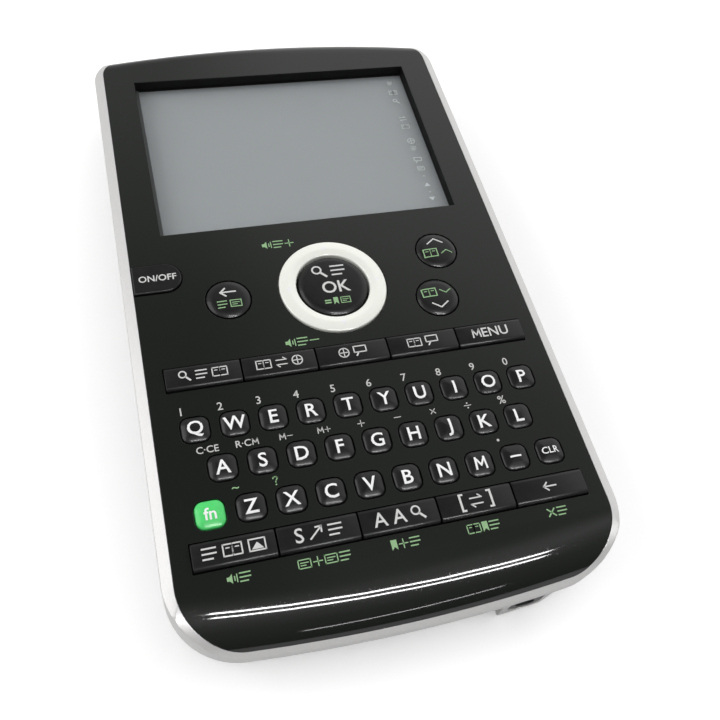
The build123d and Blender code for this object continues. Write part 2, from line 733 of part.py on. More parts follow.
def main_board():
    """Circuit board behind the display, with its three largest chips."""
    board = window_block(lcd_margin - main_board_step, main_board_top_z - main_board_thickness,
                         main_board_top_z)
    for x, y in chip_places:
        chip = Box(chip_width, chip_width, chip_height)
        board += Pos(x, y, main_board_top_z + chip_height / 2) * chip
    return board


def touch_panel():
    """Clear touch panel under the window."""
    return window_block(touch_margin, lcd_top_z, touch_top_z)


def lcd_module():
    """Display glass and backlight in one block."""
    return window_block(lcd_margin, lcd_bottom_z, lcd_top_z)


def battery_cell():
    """One AAA cell lying along X, button end towards +X, centred on the origin."""
    body = battery_length - battery_button_length
    cell = Pos(-battery_button_length / 2, 0, 0) * Rot(0, 90, 0) * Cylinder(battery_diameter / 2, body)
    button = Rot(0, 90, 0) * Cylinder(battery_button_diameter / 2, battery_button_length)
    return cell + Pos(battery_length / 2 - battery_button_length / 2, 0, 0) * button


def cell_places():
    """Centres of the two cells and the way each points."""
    offset = (battery_diameter + battery_gap) / 2
    z = cover_thickness + battery_floor_gap + battery_diameter / 2
    return [((0, bay_centre_y - offset, z), 0), ((0, bay_centre_y + offset, z), 180)]


def batteries():
    """The two cells, head to tail."""
    return [Pos(*at) * Rot(0, 0, turn) * battery_cell() for at, turn in cell_places()]


def battery_contacts():
    """A contact at each end of each cell: a strip on the bay's wall with a bent-out tongue."""
    reach = bay_contact_room - contact_gap
    strip = contact_strip
    half = contact_width / 2
    nose = contact_nose / 2
    bends = [(0, -half), (0, half), (strip, half), (reach, nose), (reach, -nose),
             (reach - strip, -nose), (reach - strip, nose - strip / 2), (strip, half - contact_slant),
             (strip, -half)]
    contact = extrude(Plane.XZ * make_face(Polyline(*bends, close=True)), half, both=True)
    contacts = []
    for (_, y, z), _ in cell_places():
        contacts.append(Pos(-bay_length / 2, y, z) * contact)
        contacts.append(Pos(bay_length / 2, y, z) * Rot(0, 0, 180) * contact)
    return contacts


def case_screws():
    """Four flat-headed screws that join the shell to the front case."""
    screw = flatted_disc(screw_head_diameter, screw_head_sink, head_seat_z)
    screw += flatted_disc(screw_diameter, head_seat_z, screw_tip_z)
    return [Pos(x, y, 0) * screw for x, y in screw_places()]


def earphone_jack():
    """Jack block with its round barrel and plug bore, facing the keyboard end."""
    barrel = Pos(jack_x, jack_end_y + jack_barrel_length / 2, jack_z) * Rot(90, 0, 0) * Cylinder(
        jack_barrel_diameter / 2, jack_barrel_length)
    half_x, half_z = jack_block_width / 2, jack_block_height / 2
    block = box_between((jack_x - half_x, jack_block_y, jack_z - half_z),
                        (jack_x + half_x, jack_block_y + jack_block_length - 2 * jack_fit,
                         jack_z + half_z))
    bore = Pos(jack_x, jack_end_y + jack_bore_length / 2, jack_z) * Rot(90, 0, 0) * Cylinder(
        jack_bore_diameter / 2, jack_bore_length)
    return barrel + block - bore


def speaker():
    """Small round speaker on its seat over the sound slots."""
    return Pos(*speaker_at, shell_floor) * flatted_disc(speaker_diameter, speaker_seat, speaker_height)


def touch_pen():
    """Pen for the touch panel, stored in its channel with the head at the display end."""
    straight = pen_length - pen_tip_length
    body = Pos(pen_x, pen_head_y - straight / 2, pen_z) * Rot(90, 0, 0) * Cylinder(
        pen_diameter / 2, straight)
    tip = Pos(pen_x, pen_tip_y + pen_tip_length / 2, pen_z) * Rot(90, 0, 0) * Cone(
        pen_tip_radius, pen_diameter / 2, pen_tip_length)
    return body + tip


# ---- key layout ---------------------------------------------------------------------------------
def letter_places():
    """Name to centre for every small key; each row is centred on the slab."""
    places = {}
    for above, row in enumerate((bottom_row, middle_row, top_row)):
        y = bottom_row_y + above * letter_row_pitch
        for index, name in enumerate(row):
            places[name] = ((index - (len(row) - 1) / 2) * letter_pitch, y)
    return places


def bar_rows():
    """Pitch, slot height and y of the two rows of bar keys."""
    return [(category_pitch, category_height, category_y), (lower_pitch, lower_height, lower_y)]


def bar_key_x(pitch, index):
    """Centre of a bar key along its row."""
    return (index - (bar_keys_per_row - 1) / 2) * pitch


def all_keys():
    """Every key but the ring, by name."""
    keys = {name: Pos(x, y, 0) * letter_key() for name, (x, y) in letter_places().items()}
    for label, (pitch, height, y) in zip(("category_key", "lower_key"), bar_rows()):
        for index in range(bar_keys_per_row):
            key = bar_key(pitch, height, index == 0, index == bar_keys_per_row - 1)
            keys[f"{label}_{index + 1}"] = Pos(bar_key_x(pitch, index), y, 0) * key
    keys["back_key"] = Pos(*back_key_at, 0) * round_key()
    keys["previous_key"] = Pos(*previous_key_at, 0) * round_key()
    keys["next_key"] = Pos(*next_key_at, 0) * round_key()
    keys["power_key"] = power_key()
    keys["enter_key"] = enter_key()
    return keys


# ---- write the sub-parts ------------------------------------------------------------------------
def write(name, shape):
    """Write one sub-part, or a group of like solids, to its own STEP file."""
    if isinstance(shape, list):
        shape = Compound(children=shape)
    export_step(shape, f"parts/{name}.step")


def main():
    """Build every sub-part and write it to the parts folder."""
    os.makedirs("parts", exist_ok=True)
    pieces = {
        "front_case": front_case(),
        "side_frame": side_frame(),
        "back_shell": back_shell(),
        "battery_cover": battery_cover(),
        "direction_ring": direction_ring(),
        "ring_pad": ring_pad(),
        "rubber_keypad": rubber_keypad(),
        "circuit_boards": [key_board(), main_board()],
        "touch_panel": touch_panel(),
        "lcd_module": lcd_module(),
        "batteries": batteries(),
        "battery_contacts": battery_contacts(),
        "case_screws": case_screws(),
        "earphone_jack": earphone_jack(),
        "speaker": speaker(),
        "touch_pen": touch_pen(),
    }
    pieces.update(all_keys())
    for name, shape in pieces.items():
        write(name, shape)


if __name__ == "__main__":
    main()
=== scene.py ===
# %% [markdown]
# # A pocket electronic dictionary
# The object is a slab that fits one hand: a glossy black face with a grey display, 44 keys and a
# direction ring, a satin silver frame round it, and a silver back with a battery cover and a pen
# channel. Its solids come from the CAD model, in metres, and this file gives them their looks.
# Pieces whose looks depend on a soft shape, such as the domed keys, are modelled again here and
# ride with the CAD body that they stand for. Every other CAD node keeps its shape and gets a
# finish.

# %% Load the CAD model
from math import cos, pi, radians, sqrt

import bmesh
import bpy
from mathutils import Matrix, Vector
from mathutils.bvhtree import BVHTree


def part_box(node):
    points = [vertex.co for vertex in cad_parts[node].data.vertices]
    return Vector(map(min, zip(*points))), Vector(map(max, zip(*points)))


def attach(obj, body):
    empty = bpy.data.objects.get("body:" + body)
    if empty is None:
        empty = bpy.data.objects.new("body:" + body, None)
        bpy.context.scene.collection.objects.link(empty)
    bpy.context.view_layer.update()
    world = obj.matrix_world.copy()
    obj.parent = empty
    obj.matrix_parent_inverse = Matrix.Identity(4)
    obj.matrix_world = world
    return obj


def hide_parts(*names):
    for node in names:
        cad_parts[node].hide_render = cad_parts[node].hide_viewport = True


MM = 0.001
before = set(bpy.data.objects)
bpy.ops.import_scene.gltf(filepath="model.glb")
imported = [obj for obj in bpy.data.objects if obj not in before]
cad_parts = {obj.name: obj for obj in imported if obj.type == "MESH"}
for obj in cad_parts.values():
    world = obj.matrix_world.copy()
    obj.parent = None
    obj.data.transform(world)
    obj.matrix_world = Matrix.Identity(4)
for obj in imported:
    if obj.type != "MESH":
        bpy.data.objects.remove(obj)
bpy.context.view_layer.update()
scene = bpy.context.scene

# %% [markdown]
# ## Camera
# The camera looks down on the slab from its keyboard end, a little from the left, from about
# 20 cm away. So near an object the perspective is strong, and a place and a focal length have to
# be right together. The sensor stays at 36 mm, as on a full-frame camera. The near clipping
# distance is shorter than Blender's own 10 cm, which would cut into the slab.

# %% Camera
camera_data = bpy.data.cameras.new("camera")
camera_data.sensor_width = 36.0
camera_data.lens = 41.945
camera_data.clip_start = 0.01
camera = bpy.data.objects.new("camera", camera_data)
camera.location = (-0.037670, -0.093021, 0.152157)
camera.rotation_euler = [radians(turn) for turn in (30.498, -8.1665, -14.3577)]
scene.collection.objects.link(camera)
scene.camera = camera
scene.view_settings.view_transform = "Standard"
face_middle = Vector((0, 0, 0.017))
print("camera to the face's middle in mm:", round((camera.location - face_middle).length / MM))

# %% [markdown]
# ## Shader sums as Python
# A shader graph is easier to read as a formula than as a list of links. A Wire stands for one
# output of a node, and its plus and times add Math nodes. A Finish is a material that is being
# built around one Principled shader; its node method makes any node from its type, its settings
# and the values or wires of its sockets. Most finishes are mottled: one soft noise takes the colour
# from a dark to a light shade and the roughness up by a swing, as no real surface is even.

# %% Shader helpers
class Wire:
    """One output of a shader node, ready for sums."""

    def __init__(self, finish, socket):
        self.finish, self.socket = finish, socket

    def _sum(self, operation, other):
        return self.finish.node("ShaderNodeMath", {"operation": operation}, {0: self, 1: other})

    def __add__(self, other):
        return self._sum("ADD", other)

    __radd__ = __add__

    def __mul__(self, other):
        return self._sum("MULTIPLY", other)

    def above(self, limit):
        """1 where the value is over the limit, else 0."""
        return self._sum("GREATER_THAN", limit)


class Finish:
    """A material, or the world, with a node tree that is built by wires."""

    def __init__(self, owner, name=None, **constants):
        self.owner = owner or bpy.data.materials.new(name)
        self.owner.use_nodes = True
        self.tree = self.owner.node_tree
        self.shader = self.tree.nodes.get("Principled BSDF")
        self.feed(**constants)

    def node(self, kind, settings=None, inputs=None, output=0):
        """Adds a node: settings first, then its sockets' values or wires."""
        node = self.tree.nodes.new(kind)
        for name, value in (settings or {}).items():
            if name == "stops":
                for place, colour in value[1:-1]:
                    node.color_ramp.elements.new(place)
                for element, (place, colour) in zip(node.color_ramp.elements, value):
                    element.position, element.color = place, (*colour, 1.0)
            else:
                setattr(node, name, value)
        for key, value in (inputs or {}).items():
            self.join(value, node.inputs[key])
        return Wire(self, node.outputs[output])

    def join(self, value, socket):
        """Links a wire to a socket, or writes a number or colour on it."""
        if isinstance(value, Wire):
            self.tree.links.new(value.socket, socket)
        else:
            socket.default_value = value

    def place(self, stretch=(1.0, 1.0, 1.0)):
        """Object coordinates in millimetres, stretched along the axes."""
        metres = self.node("ShaderNodeTexCoord", output=3)
        scale = [side / MM for side in stretch]
        return self.node("ShaderNodeMapping", inputs={"Vector": metres, "Scale": scale})

    def noise(self, size_mm, detail=2.0, stretch=(1.0, 1.0, 1.0)):
        """Soft noise from 0 to 1 whose patches are about that size."""
        return self.node("ShaderNodeTexNoise", inputs={
            "Vector": self.place(stretch), "Scale": 1.0 / size_mm, "Detail": detail})

    def blend(self, amount, dark, light, mode="MIX"):
        """Colour between two colours, or their product."""
        return self.node("ShaderNodeMix", {"data_type": "RGBA", "blend_type": mode},
                         {0: amount, 6: dark, 7: light}, output=2)

    def ramp(self, value, start, end, low=0.0, high=1.0):
        """Goes smoothly from a low to a high number while a value goes from start to end."""
        return self.node("ShaderNodeMapRange", {"interpolation_type": "SMOOTHSTEP"},
                         {0: value, 1: start, 2: end, 3: low, 4: high})

    def ray(self, kind):
        """1 for light rays of a kind, else 0."""
        return self.node("ShaderNodeLightPath", output=f"Is {kind} Ray")

    def feed(self, **inputs):
        """Joins wires or constants to the Principled shader's sockets."""
        for socket, value in inputs.items():
            self.join(value, self.shader.inputs[socket.replace("_", " ")])

    def bump(self, height, strength, distance_mm):
        """Joins a height to the shader's normal."""
        self.feed(Normal=self.node("ShaderNodeBump", inputs={
            "Height": height, "Strength": strength, "Distance": distance_mm * MM}))


def mottled(name, patch, colours, roughness, cloud=None, **constants):
    """Finish whose colour and roughness follow one noise; a cloud of larger patches is optional."""
    finish = Finish(None, name, **constants)
    finish.patch = finish.noise(*patch)
    rough = roughness[0] + finish.patch * roughness[1]
    if cloud:
        size_mm, detail, swing = cloud
        rough = rough + finish.noise(size_mm, detail) * swing
    finish.feed(Base_Color=finish.blend(finish.patch, *colours), Roughness=rough)
    return finish


def grey(value, warm=0.0):
    """A grey of one strength, a little warm or cool."""
    return (value * (1 + warm), value, value * (1 - warm), 1.0)


def greys(dark, light, warm=0.0):
    """The two greys that a finish goes between."""
    return grey(dark, warm), grey(light, warm)


print("shader helpers ready")

# %% [markdown]
# ## Floor, backdrop and world
# A product picture on white needs a white surround that doesn't wash the object out. The floor is
# a plain pale sheet that shows lighter, with a small glow, to camera, glossy and transmission rays,
# so it shows white and still takes the slab's shadow. Near the slab the glow is weaker, which
# paints a shade on the floor round the slab; away from it the glow grows to its full strength. The
# world is what the gloss reflects, and it is a plain room: pale walls beyond the display end, a dim
# ceiling, a pool of light round the lamps, and a dark side behind the camera. A black gloss shows
# those as its only colours, so the room gives the face its slow change from grey at the display end
# to black at the keys.

# %% Floor and world
floor_half_side = 1.5
floor_drop = 0.00005       # keeps the floor clear of the slab's own underside
floor_glow = 0.60
# painted shade: near the slab the floor's glow drops to this share, which darkens the floor there
painted_shade_glow_share = 0.29          # share of the glow near the slab
painted_shade_inner_mm, painted_shade_outer_mm = 30.0, 200.0
glossy_share = 0.4         # how much of the pale look a glossy ray gets
sheet = bmesh.new()
bmesh.ops.create_grid(sheet, x_segments=1, y_segments=1, size=floor_half_side)
bmesh.ops.translate(sheet, vec=(0, 0, -floor_drop), verts=sheet.verts)
floor_mesh = bpy.data.meshes.new("floor")
sheet.to_mesh(floor_mesh)
sheet.free()
floor = bpy.data.objects.new("floor", floor_mesh)
scene.collection.objects.link(floor)

paper = Finish(None, "floor_paper", Roughness=0.9, Specular_IOR_Level=0.1)
seen = paper.ray("Glossy") * glossy_share + paper.ray("Transmission") + paper.ray("Camera")
distance = paper.node("ShaderNodeVectorMath", {"operation": "LENGTH"}, {0: paper.place()}, output=1)
# the glow fades in with distance from the slab, which paints a shade on the floor round it
painted_shade_fade = paper.ramp(distance, painted_shade_inner_mm, painted_shade_outer_mm, painted_shade_glow_share)
paper.feed(Base_Color=paper.blend(seen, *greys(0.60, 0.95)), Emission_Strength=floor_glow,
           Emission_Color=paper.blend(seen * painted_shade_fade, *greys(0.0, 1.0)))
paper.bump(paper.noise(3.0), 0.05, 0.05)
floor_mesh.materials.append(paper.owner)

world = bpy.data.worlds.new("room")
scene.world = world
room = Finish(world)
direction = room.node("ShaderNodeTexCoord", output=0)
axes = [room.node("ShaderNodeSeparateXYZ", inputs={0: direction}, output=axis) for axis in range(3)]


def shades(*stops):
    """Grey ramp over the height of a direction, 0 at the horizon and 1 overhead."""
    greys_at = [(at, (value,) * 3) for at, value in stops]
    return room.node("ShaderNodeValToRGB", {"stops": greys_at}, {0: axes[2]})


walls = shades((0.0, 1.0), (0.60, 1.0), (0.68, 0.92), (0.77, 0.68), (0.83, 0.42), (0.92, 0.28),
               (1.0, 0.35))
dark_side = shades((0.0, 0.13), (0.25, 0.20), (0.55, 0.30), (0.72, 0.50), (0.82, 0.80),
                   (0.94, 0.58), (1.0, 0.33))
left_shade = room.blend(room.ramp(axes[0], 0.04, 0.22), *greys(0.56, 1.0))
walls = room.blend(1.0, walls, left_shade, "MULTIPLY")
surround = room.blend(room.ramp(axes[1], -0.25, 0.10), dark_side, walls)
background = room.tree.nodes["Background"]
room.join(room.blend(room.ray("Camera"), surround, grey(1.0)), background.inputs["Color"])
print("floor glow:", floor_glow, "world nodes:", len(room.tree.nodes))

# %% [markdown]
# ## Lamps
# A curved glossy edge shows each lamp as a line, so the lamps' shapes matter as much as their
# strength. A ceiling fitting with two thin tubes, a little askew, draws the twin bright lines
# along the rolled keyboard end and lights the lower edges of the keys. A short low tube in front
# draws the fine line nearer the table. The tubes only show in gloss: as diffuse light they would
# fill the shadow at the keyboard end. A wide soft box at the left stands for a window: it whitens
# the left side of the frame, and a flat black face never mirrors it towards the camera. A weaker
# one at the right lights the floor that the slab would shade there. A large panel above gives the
# even light of a ceiling. The last two are kept out of the gloss, which the world already fills.

# %% Lamps
def soft_lamp(name, place, size, power, target=None, askew=0.0, diffuse=True, gloss=True):
    """Area lamp of a size in metres that faces a target, or straight down, and may be askew."""
    data = bpy.data.lights.new(name, "AREA")
    data.shape, data.size, data.size_y, data.energy = "RECTANGLE", size[0], size[1], power
    lamp = bpy.data.objects.new(name, data)
    reach = Vector(target or (*place[:2], 0.0)) - Vector(place)
    aim = reach.to_track_quat("-Z", "Y").to_matrix() @ Matrix.Rotation(radians(askew), 3, "Z")
    lamp.matrix_world = Matrix.Translation(place) @ aim.to_4x4()
    lamp.visible_diffuse, lamp.visible_glossy = diffuse, gloss
    scene.collection.objects.link(lamp)
    print(name, "radiance", round(power / (pi * size[0] * size[1]), 1))


slab_middle = (0.0, 0.0, 0.01)
tube_turn = -18.0
soft_lamp("ceiling_tube_near", (0.179, -0.490, 0.60), (0.52, 0.026), 2.08, askew=tube_turn,
          diffuse=False)
soft_lamp("ceiling_tube_far", (0.167, -0.391, 0.60), (0.48, 0.026), 1.95, askew=tube_turn,
          diffuse=False)
soft_lamp("tube_low_front", (0.17, -0.75, 0.215), (0.30, 0.008), 0.14, (0.06, -0.06, 0.01),
          diffuse=False)
soft_lamp("window_left", (-0.75, 0.12, 0.50), (0.80, 0.60), 3.4, slab_middle)
soft_lamp("window_right", (0.70, 0.0, 0.70), (0.80, 0.60), 1.3, slab_middle, gloss=False)
soft_lamp("ceiling_panel", (0.12, 0.05, 1.10), (1.20, 1.20), 3.2, gloss=False)

# %% [markdown]
# ## Black finishes
# The face is moulded in black gloss plastic. Its colour is nearly nothing, so all that one sees is
# reflections, and the finish lives in its roughness: a slight haze in large patches, specks of dust
# and a faint waviness that every gloss moulding has. The keys have two lobes: a soft one, which
# spreads a lamp into a glow on the lower half of each dome, and a thin polished coat, which draws
# the crisp line at its rim.

# %% Black finishes
face_gloss = Finish(None, "face_gloss", Base_Color=(0.0075, 0.0095, 0.0072, 1), IOR=1.5)
haze = face_gloss.noise(11.0, 3.0)
dust = face_gloss.noise(0.45, 1.0).above(0.70)
face_gloss.feed(Roughness=0.03 + haze * 0.05 + dust * 0.12)
face_gloss.bump(face_gloss.noise(3.2, 1.0), 0.04, 0.02)

key_gloss = mottled("key_gloss", (1.6, 3.0), greys(0.004, 0.009), (0.28, 0.12), IOR=1.5,
                    Specular_IOR_Level=0.3, Coat_Weight=0.2, Coat_Roughness=0.06)
key_gloss.bump(key_gloss.noise(0.9, 1.0), 0.06, 0.01)
print("black finishes:", face_gloss.owner.name, key_gloss.owner.name)

# %% [markdown]
# ## Silver finishes
# The frame is plastic painted silver: metal flakes under a satin lacquer. A plain metal would look
# like foil, so the shader is only partly metallic, and the flakes are a fine noise in its colour.
# The back has the same paint over a spark-eroded grain, which makes it duller and hides scratches.
# The direction ring has a warmer pearl paint. Plated steel is used for the contacts and the cells'
# cans, and black zinc for the screws.

# %% Silver finishes
frame_paint = mottled("frame_paint", (0.16, 2.0), greys(0.58, 0.78, 0.01), (0.28, 0.10),
                      (12.0, 2.0, 0.05), Metallic=0.30, Coat_Weight=0.1, Coat_Roughness=0.25)
frame_paint.bump(frame_paint.patch, 0.10, 0.01)

back_paint = mottled("back_paint", (0.32, 3.0), greys(0.50, 0.70, 0.01), (0.38, 0.08),
                     (14.0, 3.0, 0.12), Metallic=0.40)
back_paint.bump(back_paint.patch, 0.35, 0.04)

ring_pearl = mottled("ring_pearl", (0.14, 2.0), ((0.93, 0.94, 0.86, 1), (0.98, 0.99, 0.93, 1)),
                     (0.24, 0.12), Metallic=0.08, Coat_Weight=0.5, Coat_Roughness=0.15)
ring_pearl.bump(ring_pearl.patch, 0.08, 0.01)

brushed = (0.5, 3.0, (0.08, 1.0, 1.0))
steel = mottled("plated_steel", brushed, greys(0.58, 0.78, 0.02), (0.20, 0.2), Metallic=1.0)
zinc = mottled("black_zinc", (0.4, 3.0), greys(0.05, 0.12), (0.3, 0.2), Metallic=0.9)
print("silver finishes:", frame_paint.owner.name, back_paint.owner.name, ring_pearl.owner.name)

# %% [markdown]
# ## Green key, rubber, boards and small plastic parts
# Each of these is one colour with the irregularity that its material has: streaks in the green
# plastic, a matt bloom on the rubber, copper tracks under the boards' green varnish, a sleeve with
# a dark end band on the cells. Few of them are seen until the battery cover opens.

# %% Small finishes
green_gloss = mottled("green_gloss", (1.8, 3.0), ((0.070, 0.66, 0.15, 1), (0.095, 0.76, 0.19, 1)),
                      (0.20, 0.12))
rubber = mottled("keypad_rubber", (1.2, 3.0), greys(0.035, 0.065), (0.65, 0.2),
                 Specular_IOR_Level=0.3)
rubber.bump(rubber.noise(0.3), 0.2, 0.03)

dark_plastic = mottled("dark_plastic", (0.6, 3.0), greys(0.015, 0.030), (0.36, 0.15))
dark_plastic.bump(dark_plastic.patch, 0.15, 0.02)
wall_black = mottled("wall_black", (0.2, 2.0), greys(0.004, 0.009), (0.5, 0.2),
                     Specular_IOR_Level=0.12)

board = Finish(None, "board_varnish")
tracks = board.node("ShaderNodeTexBrick", {"offset": 0.5}, {
    "Vector": board.place(), "Scale": 0.4, "Mortar Size": 0.05, "Color1": grey(0),
    "Color2": grey(0), "Mortar": grey(1)})
board.feed(Base_Color=board.blend(tracks, (0.012, 0.11, 0.045, 1), (0.05, 0.24, 0.09, 1)),
           Roughness=0.26 + board.noise(2.0) * 0.12)

band_start = 8.0           # the sleeve is dark beyond this place along X
cell_sleeve = Finish(None, "cell_sleeve", Metallic=0.3)
along = cell_sleeve.node("ShaderNodeSeparateXYZ", inputs={0: cell_sleeve.place()}, output=0)
cell_sleeve.feed(
    Base_Color=cell_sleeve.blend(along.above(band_start), (0.62, 0.56, 0.36, 1),
                                 (0.03, 0.03, 0.035, 1)),
    Roughness=0.22 + cell_sleeve.noise(1.5, 3.0, (0.3, 1, 1)) * 0.2)
print("small finishes:", green_gloss.owner.name, rubber.owner.name, board.owner.name)

# %% [markdown]
# ## Display finishes
# The unlit display is a grey sheet with a very fine grid of dots. In front of it lies the touch
# panel, a clear sheet with a matt film that scatters light and lifts the grey. Real glass in
# front of a dark module would need refraction and many light bounces; a sheet that is partly
# transparent by its Alpha and a little rough looks the same from every side at far less cost.

# %% Display finishes
display = Finish(None, "unlit_display")
dots = display.node("ShaderNodeTexBrick", {"offset": 0.0}, {
    "Vector": display.place(), "Scale": 4.0, "Mortar Size": 0.08, "Brick Width": 1.0,
    "Row Height": 1.0, "Color1": grey(0), "Color2": grey(0), "Mortar": grey(1)})
cast = display.noise(30.0, 2.0)
tone = display.blend(cast, (0.40, 0.43, 0.436, 1), (0.465, 0.493, 0.499, 1))
display.feed(Base_Color=display.blend(dots * 0.10, tone, grey(0.16)), Roughness=0.45 + cast * 0.1)

film = Finish(None, "matt_film", Base_Color=(0.55, 0.58, 0.60, 1), IOR=1.5)
smear = film.noise(16.0, 3.0)
film.feed(Roughness=0.26 + smear * 0.14, Alpha=0.26 + smear * 0.06)
film.bump(film.noise(0.25, 2.0), 0.08, 0.01)
print("display finishes:", display.owner.name, film.owner.name)

# %% [markdown]
# ## Printing inks
# The legends are printed in white, light grey and green. Ink is matt and slightly uneven, and it
# is laid on as thin shapes just above the plastic.

# %% Inks
def ink(name, *colour):
    """Matt ink with a little unevenness: where it is thin it is darker."""
    thin = tuple(0.88 * part for part in colour)
    return mottled(name, (0.5, 2.0), ((*thin, 1.0), (*colour, 1.0)), (0.48, 0.12),
                   Specular_IOR_Level=0.3)


ink_white = ink("ink_white", 0.70, 0.70, 0.69)
ink_grey = ink("ink_grey", 0.62, 0.62, 0.60)
ink_green = ink("ink_green", 0.31, 0.52, 0.27)
ink_bright = ink("ink_bright", 0.98, 0.98, 0.98)
ink_faint = ink("ink_faint", 0.56, 0.60, 0.61)
border_grey = ink("border_grey", 0.085, 0.090, 0.090)
print("inks ready")

# %% [markdown]
# ## Making a piece
# Shapes are drawn in millimetres on the CAD model's own axes, so that sizes read like a drawing.
# At the end a shape is scaled to metres, becomes an object, gets its finish and rides with a CAD
# body. Its normals are recalculated first, as a spin or an extrusion may leave them inside out.

# %% Piece helpers
def shift_by(shape, vec, points=None):
    """Moves a shape, or some of its points."""
    bmesh.ops.translate(shape, vec=vec, verts=points or shape.verts[:])


def scale_by(shape, vec, points=None):
    """Scales a shape, or some of its points, about the origin."""
    bmesh.ops.scale(shape, vec=vec, verts=points or shape.verts[:])


def turn_by(shape, angle, axis="Z", points=None):
    """Turns a shape, or some of its points, about an axis through the origin."""
    bmesh.ops.rotate(shape, cent=(0, 0, 0), matrix=Matrix.Rotation(angle, 3, axis),
                     verts=points or shape.verts[:])


def bevel(shape, parts, width, segments, affect="EDGES"):
    """Rounds edges or corners of a shape."""
    return bmesh.ops.bevel(shape, geom=parts, offset=width, offset_type="OFFSET",
                           segments=segments, profile=0.5, affect=affect, material=-1)


def rectangle(shape, width, height):
    """Adds a flat rectangle on the origin and returns its points."""
    points = bmesh.ops.create_grid(shape, x_segments=1, y_segments=1, size=0.5)["verts"]
    scale_by(shape, (width, height, 1), points)
    return points


def finish_piece(shape, name, body, finish, stands_for=(), smooth=35.0, recalculate=True):
    """Makes a bmesh in millimetres a finished piece that rides with a CAD body."""
    if recalculate:
        bmesh.ops.recalc_face_normals(shape, faces=shape.faces[:])
    scale_by(shape, (MM, MM, MM))
    mesh = bpy.data.meshes.new(name)
    shape.to_mesh(mesh)
    shape.free()
    mesh.materials.append(finish.owner)
    if smooth:
        mesh.shade_smooth()
        mesh.set_sharp_from_angle(angle=radians(smooth))
    piece = bpy.data.objects.new(name, mesh)
    scene.collection.objects.link(piece)
    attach(piece, body)
    if stands_for:
        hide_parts(*stands_for)
    return piece


def flat_piece(shape, name, body, finish):
    """Finished piece of a thin shape whose faces already look the right way."""
    return finish_piece(shape, name, body, finish, smooth=0, recalculate=False)


def node_box(node):
    """Lowest and highest corner of a CAD node in millimetres."""
    low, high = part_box(node)
    return low / MM, high / MM


def middle(node):
    """Centre of a CAD node in plan, in millimetres."""
    low, high = node_box(node)
    return (low.x + high.x) / 2, (low.y + high.y) / 2


def parts_of(result, kind):
    """Faces or points that a bmesh operator returned."""
    return [part for part in result["geom"] if isinstance(part, kind)]


def rise(shape, face, height):
    """Extrudes a face upwards and returns the moved face."""
    raised = bmesh.ops.extrude_face_region(shape, geom=[face])
    top = parts_of(raised, bmesh.types.BMFace)[0]
    shift_by(shape, (0, 0, height), top.verts[:])
    return top


def rounded_block(shape, low, high, corner=0.0, segments=6):
    """Adds an upright block with rounded plan corners and returns its top face."""
    corners = rectangle(shape, high[0] - low[0], high[1] - low[1])
    shift_by(shape, ((low[0] + high[0]) / 2, (low[1] + high[1]) / 2, low[2]), corners)
    if corner:
        corners = bevel(shape, corners, corner, segments, "VERTICES")["verts"]
    return rise(shape, corners[0].link_faces[0], high[2] - low[2])


print("piece helpers ready")

# %% [markdown]
# ## The case: face moulding, silver frame and back
# The case parts have true shapes in the CAD model, so their meshes are copied. Such a mesh is made
# of loose triangles, and a glossy surface shows every one of them. So a copy is merged into joined
# flat faces, its sharp edges are broken by a small bevel that catches the light as a moulded edge
# does, and its corners get normals worked out for the real surface: the keyboard end rolls over a
# circle that is swept along a long curve, and there each normal points away from that circle.

# %% Rolled ends
half_length = 68.8
face_z = 16.8
# radius of the end's long curve, radius of the roll, length of the roll, and side: 1 for the
# keyboard end and -1 for the display end
rolls = [(320.0, 11.2, 10.1, 1), (260.0, 4.0, 3.6, -1)]
roll_slack = 0.06          # a point this near a roll lies on it
same_way = 0.96            # cosine from which on a face counts as facing along a normal
flat_degrees = 0.4         # triangles that turn less than this are one face


def roll_normal(point):
    """Normal of the rolled end that a point lies on, or nothing."""
    for edge_radius, roll_radius, roll_run, side in rolls:
        centre = Vector((0, side * (edge_radius - half_length), 0))
        out = Vector((point.x, point.y, 0)) - centre
        reach = out.length - (edge_radius - roll_run)
        lift = point.z - (face_z - roll_radius)
        if reach < -0.02 or lift < 0 or (side > 0) != (point.y < 0):
            continue
        if abs(sqrt(reach * reach + lift * lift) - roll_radius) < roll_slack:
            return (out.normalized() * max(reach, 0) + Vector((0, 0, lift))).normalized()
    return None


def copy_in_mm(mesh):
    """Copy of a mesh as a bmesh in millimetres."""
    shape = bmesh.new()
    shape.from_mesh(mesh)
    scale_by(shape, (1 / MM,) * 3)
    return shape


def break_edges(shape, width, least, most=180.0):
    """Bevels the outward edges that turn by an angle between two limits."""
    sharp = [edge for edge in shape.edges if edge.is_manifold and edge.is_convex
             and radians(least) < edge.calc_face_angle() <= radians(most)]
    bevel(shape, sharp, width, 2)
    return len(sharp)


def lit_corners(shape, rolled, limit=35.0):
    """Normal of every face corner: the roll's own, or the mean of faces that turn gently."""
    corners = []
    cosine = cos(radians(limit))
    shape.normal_update()
    for face in shape.faces:
        on_roll = [roll_normal(corner.vert.co) for corner in face.loops] if rolled else [None]
        is_roll = all(on_roll) and all(face.normal.dot(normal) > same_way for normal in on_roll)
        for index, corner in enumerate(face.loops):
            if is_roll:
                corners.append(on_roll[index])
                continue
            near = [other for other in corner.vert.link_faces
                    if other.normal.dot(face.normal) > cosine]
            total = sum((other.normal * max(other.calc_area(), 1e-6) for other in near), Vector())
            corners.append(total.normalized() if total.length > 1e-9 else face.normal.copy())
    return corners


